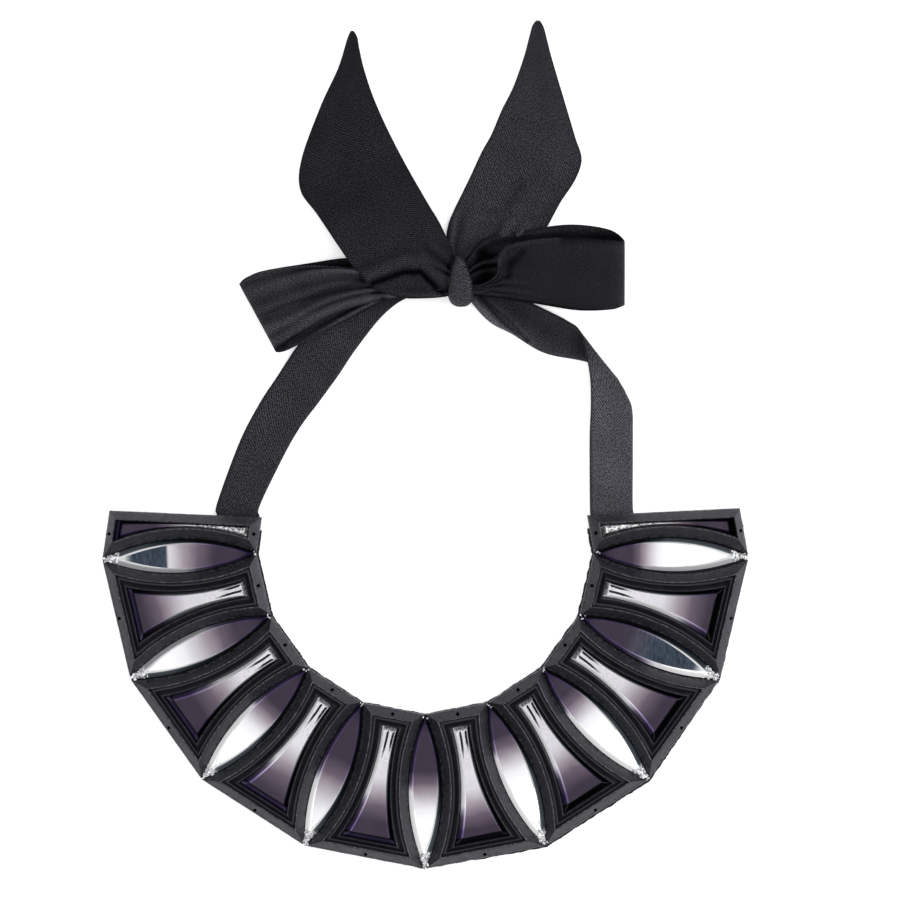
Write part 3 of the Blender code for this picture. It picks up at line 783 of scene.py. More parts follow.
# Bar stones: two slits run out from the narrow end, the one on the light side longer. Values in
# pairs are for the light side and the dark one
SLIT_START = 0.0013
SLIT_RISE = 0.0006
SLIT_LENGTHS = (0.0148, 0.0118)
SLIT_HALF_WIDTH = 0.00046
SLIT_DEPTH = 0.0009
SLIT_SHARES = ((0.05, 0.42), (0.72, 0.46))
BAR_BEVELS = (0.0024, 0.0018)
BAR_BULGE = 0.0001

# Wide end of a bar stone: how lit its bevel is, and where the thin line on it runs
END_GLOW = 0.3
END_BLUR = 0.0003
END_LINE = 0.0009
END_LINE_HALF = 0.0005

STONE_VALUES = ("ombre", "bevel", "glow", "crumb", "painted_reflection", "slit_shade")


def stone_piece(node, loops, values):
    """Skins one stone, with its values for colour, and stands it for its CAD node."""
    mesh = skin(f"cut_{node}", loops, ring=False, sharp_angle=24.0)
    for name, row in zip(STONE_VALUES, zip(*values)):
        set_values(mesh, name, row)
    return add_piece(f"cut_{node}", mesh, STONE, [node])


def chipped(place, points, scale, shift, amount):
    """Sets a stone's points in their place, and roughens them by an amount, its flat foot least."""
    loop = []
    for x, y, z in points:
        spot = Vector((x, y, z))
        rough = noise.noise_vector(spot * scale + shift) * amount
        rough.z *= 1.0 if z > FRAME_FLOOR else 0.0
        loop.append(place @ (spot + rough))
    return loop


def glow_of(place, way):
    """How far a facet that leans this way, in the stone's own frame, faces the light."""
    return smooth_step(-0.1, 0.7, (place.to_3x3() @ Vector(way)).dot(GLOW_WAY))


def bevel_look(edge, glow, line, ombre):
    """How much of its own tone a bevel shows, and how lit it is. Where the stone is violet, a lit
    bevel takes the table's tone but for the thin line of its edge."""
    silver = max(smooth_step(0.38, 0.56, ombre), line)
    return edge * mix(1.0, silver, 0.8 * glow), glow * mix(VIOLET_GLOW, 1.0, silver)


def lens_half_width(x, start, stop, half_width):
    if x <= start or x >= stop:
        return 0.0
    radius = ((stop - start) ** 2 / 4 + half_width ** 2) / (2 * half_width)
    middle = x - (start + stop) / 2
    return max(math.sqrt(radius ** 2 - middle ** 2) - radius + half_width, 0.0)


def marquise_section(x, start, stop):
    """One cross-section of a marquise from one foot over the table to the other, as
    (y, z, bevel, line), where line marks the thin edge between bevel and table."""
    girdle = FRAME_FLOOR + MARQUISE_GIRDLE
    top = girdle + MARQUISE_CROWN
    half = max(lens_half_width(x, start, stop, LENS_HALF - GAP), TIP_HALF)
    table_start, table_stop = start + MARQUISE_INNER_TIP, stop - MARQUISE_OUTER_TIP
    table = lens_half_width(x, table_start, table_stop, LENS_HALF - GAP - MARQUISE_BEVEL)
    if x < table_start:
        top = mix(girdle, top, (x - start) / MARQUISE_INNER_TIP)
    elif x > table_stop:
        top = mix(girdle, top, ((stop - x) / MARQUISE_OUTER_TIP) ** 0.7)
    side = [(half, FRAME_FLOOR, 1.0, 0.0), (half, girdle, 1.0, 0.0)]
    for share, line in ((0.35, 0.0), (0.66, 0.1), (0.74, 1.0)):
        bulge = BEVEL_BULGE * math.sin(math.pi * share)
        side.append((mix(half, table, share), mix(girdle, top, share) + bulge, 1.0, line))
    side.append((max(table, TABLE_HALF) * 1.02, top, 1.0, 1.0))
    side.append((max(table, TABLE_HALF), top + TABLE_HALF, 0.0, 0.0))
    for share in (0.75, 0.5, 0.25):
        side.append((table * share, top + TABLE_BULGE * (1 - share ** 2), 0.0, 0.0))
    middle = (0.0, top + TABLE_BULGE * (table > 0), 0.0, 0.0)
    return [(-y, *rest) for y, *rest in side] + [middle] + side[::-1]


def build_marquise(index):
    place = STONES[index]
    fade, softness = MARQUISE_FADES[index]
    start, stop = INNER_RADIUS + GAP, OUTER_RADIUS - GAP
    rough_start, rough_stop = (stop - MARQUISE_OUTER_TIP * share for share in ROUGH_TIP)
    glows = {side: glow_of(place, (0.0, side, 0.0)) for side in (-1.0, 1.0)}
    loops, values = [], []
    for x in stations(start, stop, STONE_STEPS):
        along = (x - start) / (stop - start)
        tip = smooth_step(rough_start, rough_stop, x)
        # Painted reflection: a dark patch along two of the stones
        painted_reflection = smooth_step(*PAINTED_REFLECTION_STARTS.get(index, NO_PAINTED_REFLECTION), along)
        painted_reflection *= 1 - smooth_step(*PAINTED_REFLECTION_END, along)
        deepest = DEEPEST_OMBRE * smooth_step(0.0, INNER_TIP_SHADE, along)
        ombre = max(OMBRE_TURN + (along - fade) / softness, deepest)
        section = marquise_section(x, start, stop)
        for y, z, edge, line in section:
            bevel, glow = bevel_look(edge, glows[math.copysign(1.0, y)], line, ombre)
            glow = max(glow, DULL_LINE * line)
            values.append((ombre, bevel, glow, tip, painted_reflection * (1 - edge), 0.0))
        points = [(x, y, z) for y, z, edge, line in section]
        loops.append(chipped(place, points, 1500.0, Vector((index, 0, 0)), 0.0006 * tip))
    stone_piece(f"marquise_stone_{index + 1:02d}", loops, values)
    build_chips(index, start, stop)


def build_chips(index, start, stop):
    """Splinters and set drops of clear glue at a marquise's two tips."""
    chance = random.Random(CHIP_SEED + index)
    work = bmesh.new()
    spots = [(stop - MARQUISE_OUTER_TIP * chance.uniform(0.02, 0.92), 1.0) for _ in range(TIP_CHIPS)]
    spots += [
        (start + MARQUISE_INNER_TIP * chance.uniform(-0.05, 0.6), INNER_CHIP_SIZE)
        for _ in range(INNER_CHIPS)
    ]
    for x, size in spots:
        half = lens_half_width(x, start - 0.002, stop + 0.002, LENS_HALF) * 0.75
        level = FRAME_FLOOR + MARQUISE_GIRDLE + MARQUISE_CROWN * chance.uniform(0.1, 0.85)
        spot = Vector((x, chance.uniform(-half, half), level))
        scale = [CHIP_SIZE * size * chance.uniform(0.6, 1.5) for _ in range(3)]
        turns = [Matrix.Rotation(chance.uniform(0, 6.28), 4, axis) for axis in "ZX"]
        bmesh.ops.create_icosphere(
            work, subdivisions=1, radius=1.0, matrix=STONES[index] @ Matrix.Translation(spot)
            @ turns[0] @ turns[1] @ Matrix.Diagonal((*scale, 1.0)),
        )
    mesh = finish_mesh(f"glue_chips_{index + 1:02d}", work, 10.0)
    add_piece(mesh.name, mesh, CLEAR, [])


def slit_opening(x, start, length):
    begun = smooth_step(start + SLIT_START, start + SLIT_START + SLIT_RISE, x)
    return begun * (1 - smooth_step(start + 0.5 * length, start + length, x))


def bar_side(x, half, along, start, stop, side, slits):
    """One side of a bar stone's cross-section, from its foot in: (y, z, bevel, line, slit shade),
    where slit shade is painted shade in the slits. The side is 0 for the light one and 1 for the
    dark one."""
    girdle = FRAME_FLOOR + STONE_GIRDLE
    ends = min((x - start) / STONE_BEVEL, (stop - x) / STONE_END_BEVEL, 1.0)
    top = mix(girdle, girdle + STONE_CROWN, max(ends, 0.0))
    table = half - min(BAR_BEVELS[side] * (0.3 + 0.75 * along), 0.42 * half)
    length = SLIT_LENGTHS[side]
    open_slit = slits * slit_opening(x, start, length)
    at = half * mix(*SLIT_SHARES[side], min((x - start) / length, 1.0))
    wide = SLIT_HALF_WIDTH * (0.1 + 0.9 * open_slit)
    at = min(max(at, 1.1 * wide), 0.96 * table - 1.1 * wide)
    deep = top - SLIT_DEPTH * open_slit
    return [
        (half, FRAME_FLOOR, 1.0, 0.0, 0.0), (half, girdle, 1.0, 0.0, 0.0),
        (mix(half, table, 0.5), mix(girdle, top, 0.5) + BAR_BULGE, 1.0, 0.0, 0.0),
        (mix(half, table, 0.82), mix(girdle, top, 0.82) + BAR_BULGE, 1.0, 1.0, 0.0),
        (table * 1.01, top - TABLE_HALF, 1.0, 1.0, 0.0), (table, top, 0.0, 0.0, 0.0),
        (at + wide, top, 0.0, 0.0, 0.0), (at + 0.85 * wide, deep, 0.0, 0.0, open_slit),
        (at - 0.85 * wide, deep, 0.0, 0.0, open_slit), (at - wide, top, 0.0, 0.0, 0.0),
    ]


def crumb_of(along, end):
    """How crumbly the glue behind a bar stone looks: most at the narrow end of the end stones."""
    if end:
        return 1 - smooth_step(0.30, 0.52, along)
    return 0.8 - 0.68 * smooth_step(0.0, 0.06, along) - 0.12 * smooth_step(0.3, 0.5, along)


def build_bar_stone(index):
    end = index in HALVES
    place = PANELS[index]
    tilt, flip = half_panel(index) if end else (0.0, 1)
    if end:
        rows = half_rows(1.0, tilt, GAP)
    else:
        rows = full_rows(BAND_WIDTH + GAP, INNER_BAND + GAP, OUTER_BAND + GAP)
    start, stop = rows[0][0], rows[-1][0]
    fade, softness = BAR_FADES[index]
    glows = [glow_of(place, (0.0, side * flip, 0.0)) for side in (-1, 1)]
    end_glow = END_GLOW * glow_of(place, (1.0, 0.0, 0.0))
    loops, values = [], []
    for x in stations(start, stop, STONE_STEPS):
        along = (x - start) / (stop - start)
        share = along * (len(rows) - 1)
        at = min(int(share), len(rows) - 2)
        low, high = (mix(rows[at][edge], rows[at + 1][edge], share - at) for edge in (1, 2))
        middle, half = (low + high) / 2, (high - low) / 2
        crumb = crumb_of(along, end)
        ombre = max(OMBRE_TURN + (fade - along) / softness, DEEPEST_OMBRE)
        ombre = min(ombre, PALEST_BAR)
        past = smooth_step(stop - STONE_END_BEVEL - END_BLUR, stop - STONE_END_BEVEL, x)
        tail = end_glow * (abs(stop - END_LINE - x) < END_LINE_HALF)
        points = []
        for side, glow in zip((-1, 1), glows):
            dark = int(glow < max(glows))
            section = bar_side(x, half, along, start, stop, dark, 0.0 if end else 1.0)
            for y, z, edge, line, slit_shade in section[::-side]:
                bevel, shine = bevel_look(edge, glow, line, ombre)
                shine = mix(max(shine, 0.5 * DULL_LINE * line), tail, past)
                points.append((x, flip * (middle + side * y), z))
                values.append((ombre, max(bevel, past), shine, crumb, 0.0, slit_shade))
        loops.append(chipped(place, points, 1300.0, Vector((index, 5, 0)), 0.0004 * crumb))
    stone_piece(f"bar_stone_{index + 1:02d}", loops, values)


# Backing

# How far the felt was left standing out past each stone's outer tip, from left to right
OUTER_OVERHANGS = (0.0000, 0.0000, 0.0000, 0.0000, 0.0002, 0.0010, 0.0010, 0.0003, 0.0000)

# How the felt's edge wanders from the outline it was cut to, and the fibres left standing along it
CUT_STEP = 0.0006
CUT_WANDER = 0.00035
FIBRE_COUNT = 900
FIBRE_REACH = (0.0003, 0.0009)
FIBRE_LEAN = 0.9
FIBRE_ROOT = 0.0004
FIBRE_THICKNESS = 0.00006


def on_ring(point, index):
    flip = half_panel(index)[1]
    return (PANELS[index] @ Vector((point.x, flip * point.y, 0.0))).xy


def strap_seat(index, along, inside):
    tilt = half_panel(index)[0]
    direction = cut_line(tilt)[1]
    corner = Vector((INNER_EDGE, cut_height(INNER_EDGE, tilt, 0.0)))
    inward = Vector((direction.y, -direction.x))
    return on_ring(corner + direction * along + inward * inside, index)


def end_outline(index):
    tilt = half_panel(index)[0]
    outer = OUTER_EDGE + OUTER_OVERHANG
    inner = INNER_EDGE - BACKING_OVERHANG
    step = STRAP_MARGIN + STRAP_WIDTH + GAP
    depth = STRAP_TUCK + GAP
    low_corner = Vector((inner, cut_height(inner, tilt, depth)))
    return [
        on_ring(Vector((outer, cut_height(outer, tilt, GAP))), index),
        strap_seat(index, step, GAP),
        strap_seat(index, step, depth),
        on_ring(low_corner, index),
    ]


def backing_outline():
    sag = Vector((0.0, -BACKING_SAG))
    inner = [
        (place @ Vector((INNER_RADIUS - BACKING_OVERHANG, 0.0, 0.0))).xy + sag for place in STONES]
    outer = []
    for index, place in enumerate(STONES):
        outer.append((place @ Vector((OUTER_RADIUS + OUTER_OVERHANGS[index], 0.0, 0.0))).xy)
        if index < PANEL_COUNT:
            bulge = (OUTER_OVERHANGS[index] + OUTER_OVERHANGS[index + 1]) / 2
            edge = Vector((OUTER_EDGE + bulge, 0.0, 0.0))
            outer.append((PANELS[index + 1] @ edge).xy)
    left, right = map(end_outline, HALVES)
    return outer + right + inner[::-1] + left[::-1]


def ragged(outline, step, amount):
    """Reads an outline closely and moves its points as scissors would."""
    result = []
    for start, stop in zip(outline, outline[1:] + outline[:1]):
        length = (stop - start).length
        normal = Vector(((stop - start).y, -(stop - start).x)).normalized()
        count = max(int(length / step), 1)
        for index in range(count):
            point = start.lerp(stop, index / count)
            flat = Vector((point.x, point.y, 0.0))
            shift = noise.noise(flat * 330.0) + 0.6 * noise.noise(flat * 1100.0)
            result.append(point + normal * (shift * amount))
    return result


def build_backing():
    outline = ragged(backing_outline(), CUT_STEP, CUT_WANDER)
    work = bmesh.new()
    face = work.faces.new([work.verts.new((point.x, point.y, 0.0)) for point in outline])
    raised = bmesh.ops.extrude_face_region(work, geom=[face])["geom"]
    verts = [item for item in raised if isinstance(item, bmesh.types.BMVert)]
    bmesh.ops.translate(work, verts=verts, vec=(0.0, 0.0, BACKING_THICKNESS))
    bmesh.ops.triangulate(work, faces=[item for item in work.faces if len(item.verts) > 4])
    area = sum(item.calc_area() for item in work.faces if item.normal.z > 0.9)
    mesh = finish_mesh("felt_backing", work, 30.0)
    backing = add_piece("felt_backing", mesh, FELT, ["backing"])
    fibres = build_fibres(outline)


def build_fibres(outline):
    """Loose fibres along the felt's cut edge, as thin three-sided hairs."""
    chance = random.Random(FIBRE_SEED)
    work = bmesh.new()
    for _ in range(FIBRE_COUNT):
        at = chance.randrange(len(outline))
        point = outline[at]
        along = (outline[(at + 1) % len(outline)] - point).normalized()
        out = Vector((along.y, -along.x))
        reach = chance.uniform(*FIBRE_REACH)
        tip = point + out * reach + along * reach * chance.uniform(-FIBRE_LEAN, FIBRE_LEAN)
        level = chance.uniform(0.2, 0.8) * BACKING_THICKNESS
        root = point - out * FIBRE_ROOT
        side = along * FIBRE_THICKNESS
        ring = [
            work.verts.new((*(root + side), level)),
            work.verts.new((*(root - side), level)),
            work.verts.new((*root, level + 1.6 * FIBRE_THICKNESS)),
        ]
        end = work.verts.new((*tip, level + chance.uniform(-0.2, 0.3) * reach))
        work.faces.new(ring)
        for index in range(3):
            work.faces.new((ring[index], ring[(index + 1) % 3], end))
    mesh = finish_mesh("felt_fibres", work, 60.0)
    return add_piece("felt_fibres", mesh, FELT, [])


# Ribbon rows in the bow, as in the solids
#   left x, left y, right x, right y, left layer, right layer, arch
LEFT_TAIL = (
    (0.02, -0.10, 0.02, 0.10, 5.2, 5.2, 0.00),
    (-0.16, -0.16, -0.06, 0.24, 5.0, 5.2, 0.02),
    (-0.37, -0.18, -0.09, 0.36, 5.0, 5.2, 0.03),
    (-0.63, -0.17, -0.15, 0.48, 5.1, 5.0, 0.04),
    (-0.91, -0.07, -0.23, 0.64, 5.4, 4.6, 0.04),
    (-1.13, 0.16, -0.35, 0.84, 5.6, 3.6, 0.03),
    (-1.49, 0.69, -0.57, 1.23, 1.8, 1.2, 0.02),
    (-1.68, 0.97, -0.76, 1.60, 0.2, 0.2, 0.02),
    (-1.66, 1.32, -0.91, 1.94, 0.0, 0.0, 0.01),
    (-1.46, 1.86, -1.01, 2.24, 0.0, 0.0, 0.00),
    (-1.28, 2.25, -1.06, 2.46, 0.0, 0.0, 0.00),
    (-1.19, 2.54, -1.08, 2.57, 0.0, 0.0, 0.01),
    (-1.15, 2.64, -1.12, 2.64, 0.0, 0.0, 0.00),
)
RIGHT_TAIL = (
    (-0.05, 0.05, 0.07, 0.05, 0.6, 0.6, 0.00),
    (-0.09, 0.24, 0.16, 0.20, 0.2, 0.2, 0.00),
    (-0.14, 0.42, 0.47, 0.21, 0.0, 0.0, 0.01),
    (-0.13, 0.57, 0.74, 0.34, 0.0, 0.0, 0.01),
    (-0.07, 0.74, 0.91, 0.57, 0.0, 0.0, 0.01),
    (0.10, 1.09, 1.06, 0.84, 0.0, 0.0, 0.01),
    (0.23, 1.37, 1.21, 1.07, 0.0, 0.0, 0.01),
    (0.33, 1.55, 1.28, 1.29, 0.0, 0.0, 0.01),
    (0.44, 1.81, 1.21, 1.53, 0.0, 0.0, 0.00),
    (0.56, 2.05, 1.11, 1.87, 0.0, 0.0, 0.00),
    (0.67, 2.36, 0.97, 2.34, 0.0, 0.0, 0.00),
    (0.73, 2.58, 0.91, 2.57, 0.0, 0.0, 0.01),
    (0.76, 2.69, 0.88, 2.68, 0.0, 0.0, 0.01),
    (0.80, 2.75, 0.84, 2.75, 0.0, 0.0, 0.00),
)
LEFT_LOOP = (
    (-0.02, -0.12, -0.02, 0.08, 1.4, 1.4, 0.00),
    (-0.40, -0.13, -0.40, 0.18, 1.2, 1.2, 0.00),
    (-0.75, -0.18, -0.78, 0.22, 1.1, 1.1, 0.00),
    (-1.15, -0.38, -1.16, 0.25, 1.1, 1.1, 0.00),
    (-1.58, -0.60, -1.55, 0.20, 1.1, 1.1, 0.00),
    (-1.84, -0.73, -2.12, 0.10, 1.2, 1.2, 0.00),
    (-1.93, -0.73, -2.31, -0.03, 2.9, 2.9, 0.00),
    (-1.81, -0.64, -2.18, 0.06, 4.7, 4.7, 0.00),
    (-1.42, -0.40, -1.68, 0.15, 4.6, 5.2, 0.02),
    (-1.14, -0.28, -1.20, 0.14, 3.8, 4.2, 0.03),
    (-0.77, -0.18, -0.78, 0.08, 3.1, 3.1, 0.01),
    (-0.40, -0.13, -0.40, 0.07, 2.9, 2.9, 0.00),
    (-0.02, -0.10, -0.02, 0.06, 2.9, 2.9, 0.00),
)
RIGHT_LOOP = (
    (0.02, -0.12, 0.02, 0.12, 1.6, 1.6, 0.00),
    (0.22, -0.15, 0.16, 0.36, 1.4, 1.4, 0.00),
    (0.48, -0.18, 0.28, 0.46, 1.2, 1.2, 0.00),
    (0.85, -0.24, 0.56, 0.52, 1.2, 1.2, 0.00),
    (1.25, -0.30, 1.13, 0.60, 1.2, 1.2, 0.00),
    (1.60, -0.29, 1.56, 0.55, 1.4, 1.4, 0.00),
    (1.72, -0.25, 1.72, 0.42, 4.0, 4.0, 0.00),
    (1.62, -0.28, 1.60, 0.42, 6.4, 6.4, 0.00),
    (1.30, -0.27, 1.30, 0.44, 6.0, 6.6, 0.02),
    (1.05, -0.22, 1.05, 0.45, 5.6, 6.4, 0.02),
    (0.80, -0.18, 0.77, 0.43, 5.2, 6.2, 0.02),
    (0.65, -0.15, 0.57, 0.39, 4.8, 6.4, 0.01),
    (0.56, -0.13, 0.45, 0.33, 4.6, 6.6, 0.00),
    (0.48, -0.12, 0.39, 0.23, 4.4, 6.6, 0.00),
    (0.41, -0.11, 0.40, 0.12, 4.2, 6.3, 0.00),
    (0.33, -0.10, 0.36, 0.04, 4.1, 5.6, 0.00),
    (0.23, -0.12, 0.24, -0.03, 3.9, 4.6, 0.00),
    (0.12, -0.12, 0.12, -0.05, 3.7, 4.0, 0.00),
    (0.02, -0.12, 0.02, -0.04, 3.6, 3.6, 0.00),
)

# Strap rows between the half panel and the knot, as in the solids
#   left along, left side, right along, right side, layer
LEFT_STRAP = (
    (0.17, 1.18, 0.24, 0.23, 0.0),
    (0.30, 1.47, 0.34, 0.41, 0.0),
    (0.40, 1.61, 0.42, 0.48, 0.0),
    (0.51, 1.76, 0.53, 0.59, 0.0),
    (0.61, 1.80, 0.63, 0.72, 0.0),
    (0.74, 1.50, 0.77, 0.80, 0.0),
    (0.87, 0.90, 0.87, 0.60, 0.0),
    (1.00, 0.20, 0.97, -0.05, 0.0),
)
RIGHT_STRAP = (
    (0.27, -0.54, 0.19, -1.40, 0.2),
    (0.37, -1.00, 0.28, -1.76, 1.2),
    (0.46, -1.36, 0.34, -1.84, 1.5),
    (0.55, -1.60, 0.37, -1.86, 1.5),
    (0.62, -1.74, 0.42, -1.84, 0.8),
    (0.67, -1.64, 0.51, -1.50, 0.0),
    (0.74, -1.38, 0.62, -0.78, 0.0),
    (0.82, -1.04, 0.74, -0.38, 0.0),
    (0.89, -0.64, 0.82, -0.09, 0.0),
    (0.95, -0.38, 0.91, 0.02, 0.0),
    (1.02, -0.10, 1.00, 0.05, 0.0),
)

# Soft folds pressed into the bow, by piece: how far each stands up or sinks in, how wide it is, and
# the points it runs through as shares of the ribbon's width from the knot
TAIL_GROOVE = ((-0.91, -0.02), (-0.59, 0.09), (-0.41, 0.09), (-0.18, -0.14))
LOOP_GROOVE = ((-0.80, -0.20), (-1.15, -0.33), (-1.74, -0.60), (-2.00, -0.76))
FOLDS = {
    "ribbon_tail_left": (
        (0.0022, 0.0030, (
            (-0.95, 0.05), (-0.75, 0.14), (-0.59, 0.20), (-0.41, 0.20), (-0.14, -0.02),
        )),
        (-0.0012, 0.0015, TAIL_GROOVE),
        (-0.0022, 0.0036, ((-0.04, 0.34), (-0.10, 0.12), (-0.12, -0.05), (-0.12, -0.20))),
        (0.0012, 0.0060, ((-1.45, 1.10), (-1.30, 1.70), (-1.15, 2.30))),
    ),
    "ribbon_tail_right": (
        (-0.0010, 0.0040, ((0.15, 0.35), (0.35, 0.70), (0.60, 1.00))),
        (0.0010, 0.0050, ((0.50, 0.45), (0.75, 0.85), (1.00, 1.15))),
    ),
    "bow_loop_left": (
        (-0.0022, 0.0014, LOOP_GROOVE),
        (0.0018, 0.0020, ((-0.98, -0.16), (-1.20, -0.22), (-1.75, -0.43), (-2.20, -0.62))),
        (-0.0014, 0.0018, ((-0.90, 0.01), (-1.40, -0.10), (-1.85, -0.26), (-2.30, -0.44))),
        (0.0014, 0.0026, ((-1.10, 0.10), (-1.40, 0.06), (-2.30, -0.10))),
    ),
    "bow_loop_right": (
        (0.0012, 0.0030, ((0.45, 0.00), (0.80, 0.06), (1.20, 0.02), (1.80, 0.00))),
        (-0.0010, 0.0030, ((0.55, 0.20), (0.85, 0.26), (1.30, 0.24), (1.80, 0.22))),
    ),
    "ribbon_strap_right": (
        (0.0010, 0.0012, ((0.10, -0.14), (0.34, -0.40), (0.60, -0.64))),
        (-0.0008, 0.0012, ((0.16, -0.10), (0.40, -0.34), (0.70, -0.62))),
    ),
}

# Painted shadow where a ribbon of the bow lies in shadow (below zero), or painted highlight where it
# catches the light on a rolled edge (above zero): how strongly, how wide, the share of its length
# that this holds for, and the points
WHOLE, UNDERSIDE, UPSIDE, OUTER_PART = (0.0, 1.0), (0.0, 0.5), (0.5, 1.0), (0.4, 1.0)
TONES = {
    "ribbon_tail_left": (
        (-0.8, 0.0009, WHOLE, ((-0.06, 0.30), (-0.12, 0.16), (-0.14, 0.00), (-0.13, -0.20))),
        (-0.7, 0.0015, WHOLE, TAIL_GROOVE),
        (0.4, 0.0024, WHOLE, (
            (-1.00, 0.03), (-0.75, 0.14), (-0.59, 0.20), (-0.41, 0.20), (-0.14, -0.02),
        )),
        (0.3, 0.0030, WHOLE, ((-0.70, -0.04), (-0.50, -0.05), (-0.35, -0.10))),
    ),
    "bow_loop_left": (
        (-0.7, 0.0016, OUTER_PART, LOOP_GROOVE),
        (-0.5, 0.0012, OUTER_PART, ((-0.70, 0.06), (-1.40, -0.10), (-1.85, -0.26), (-2.30, -0.44))),
        (0.5, 0.0022, OUTER_PART, ((-0.90, -0.14), (-1.20, -0.22), (-1.75, -0.43), (-2.20, -0.62))),
        (-0.7, 0.0030, UNDERSIDE, ((-0.90, 0.16), (-1.50, 0.16), (-2.30, 0.08))),
    ),
    "bow_loop_right": (
        (-1.2, 0.0036, UNDERSIDE, ((0.24, 0.30), (0.28, 0.10), (0.22, -0.06))),
        (-0.7, 0.0026, UNDERSIDE, ((0.36, 0.40), (0.60, 0.44), (1.10, 0.46), (1.80, 0.46))),
        (0.6, 0.0006, UNDERSIDE, (
            (0.12, 0.06), (0.15, 0.34), (0.34, 0.46), (0.80, 0.52), (1.20, 0.57), (1.90, 0.54),
        )),
        (1.2, 0.0008, UPSIDE, (
            (0.22, 0.02), (0.38, 0.05), (0.41, 0.14), (0.42, 0.26), (0.52, 0.37), (0.77, 0.42),
            (1.05, 0.45), (1.47, 0.42), (1.90, 0.42),
        )),
        (-0.7, 0.0016, UPSIDE, ((0.50, 0.04), (0.54, 0.20), (0.66, 0.30))),
        (0.5, 0.0040, UPSIDE, ((1.45, 0.30), (1.55, 0.00), (1.45, -0.25))),
    ),
    "ribbon_strap_right": (
        (-0.75, 0.0100, WHOLE, ((0.30, -0.14), (0.60, -0.30), (0.90, -0.50), (1.22, -0.66))),
        (1.0, 0.0014, WHOLE, ((0.10, -0.18), (0.34, -0.42), (0.60, -0.64))),
    ),
}

# How tightly each ribbon of the bow is gathered: its ends that go into the knot, how deep its
# pleats are, and over what share of its length they die out
GATHERS = {
    "bow_loop_left": ((0, 1), 0.0028, 0.70),
    "bow_loop_right": ((0, 1), 0.0022, 0.50),
    "ribbon_tail_left": ((0,), 0.0016, 0.40),
    "ribbon_tail_right": ((0,), 0.0022, 0.45),
}

# Knot: where its profile starts and stops as shares of a half turn, how square the profile is below
# and above its middle, and its outline's width, fullness, taper and lean
KNOT_SWEEP = (0.06, 0.96)
KNOT_SQUARENESS = (0.35, 0.42)
KNOT_SIDE = 0.44
KNOT_FULLNESS = 0.40
KNOT_TAPER = 0.42
KNOT_LEAN = 0.0004
KNOT_SWELL = 0.0005


def smooth_between(rows, steps):
    """Reads more rows from a smooth curve through the given ones."""
    padded = [rows[0], *rows, rows[-1]]
    result = []
    for near in zip(padded, padded[1:], padded[2:], padded[3:]):
        for t in (step / steps for step in range(steps)):
            result.append([
                0.5 * (2 * b + (c - a) * t + (2 * a - 5 * b + 4 * c - d) * t ** 2
                       + (3 * b - a - 3 * c + d) * t ** 3)
                for a, b, c, d in zip(*near)
            ])
    result.append(list(rows[-1]))
    return result


def bow_rows(table):
    rows = []
    for left_x, left_y, right_x, right_y, left_layer, right_layer, arch in table:
        rows.append((
            *(KNOT_CENTRE + Vector((left_x, left_y)) * RIBBON_WIDTH),
            RIBBON_SOLID / 2 + left_layer * LAYER,
            *(KNOT_CENTRE + Vector((right_x, right_y)) * RIBBON_WIDTH),
            RIBBON_SOLID / 2 + right_layer * LAYER,
            arch * RIBBON_WIDTH,
        ))
    return rows


def strap_rows(index, table):
    edges = (STRAP_MARGIN, STRAP_MARGIN + STRAP_WIDTH)
    near, far = edges if index else edges[::-1]
    floor = STRAP_SOLID / 2
    rows = []
    for inside in (STRAP_TUCK, 0.0, -STRAP_TUCK):
        left, right = strap_seat(index, near, inside), strap_seat(index, far, inside)
        rows.append((*left, floor, *right, floor, 0.0))
    start = strap_seat(index, STRAP_MARGIN + STRAP_WIDTH / 2, 0.0)
    way = KNOT_CENTRE - start
    side = Vector((-way.y, way.x)).normalized() * STRAP_WIDTH
    for left_along, left_side, right_along, right_side, layer in table:
        left = start + way * left_along + side * left_side
        right = start + way * right_along + side * right_side
        level = floor + layer * LAYER
        rows.append((*left, level, *right, level, 0.0))
    return rows


def ribbon_grid(rows, floor, cross_steps=CROSS_STEPS):
    """Rows of points across a ribbon, none below the floor height."""
    grid = []
    for values in smooth_between(rows, ROW_STEPS):
        left, right, arch = Vector(values[0:3]), Vector(values[3:6]), values[6]
        line = []
        for share in stations(0.0, 1.0, cross_steps):
            point = left.lerp(right, share)
            point.z = max(point.z + arch * math.sin(math.pi * share), floor)
            line.append(point)
        grid.append(line)
    return grid


def doubled(grid):
    """Folds a strap's grid in two: out along its upper layer and back along its lower one."""
    half_room = STRAP_SOLID / 6
    result = []
    for line in grid:
        upper = [point + up(half_room) for point in line]
        lower = [point - up(half_room) for point in reversed(line)]
        crease = line[-1] + (line[-1] - line[-2]).normalized() * half_room
        result.append(upper + [crease] + lower)
    return result


def gathered(grid, knot_end, depth, reach):
    """Presses pleats into the end of a ribbon that goes into the knot. They take up the cloth that
    has no room side by side there, as deep as they may be, and die out along the ribbon."""
    result = []
    count, across = len(grid) - 1, len(grid[0]) - 1
    for row, line in enumerate(grid):
        near = (count - row if knot_end else row) / count
        spare = math.sqrt(max(RIBBON_WIDTH ** 2 - (line[-1] - line[0]).length ** 2, 0.0))
        deepest = depth * (1 - smooth_step(PLEAT_START, reach, near))
        height = min(spare / (2 * PLEAT_COUNT), deepest)
        pleated = []
        for step, point in enumerate(line):
            share = step / across
            share += PLEAT_WARP * noise.noise(Vector((3.0 * share, 4.0 * near, knot_end)))
            wave = math.cos(2 * math.pi * PLEAT_COUNT * share + PLEAT_TWIST * near)
            pleated.append(point + up(height * (0.5 - 0.5 * wave)))
        result.append(pleated)
    return result


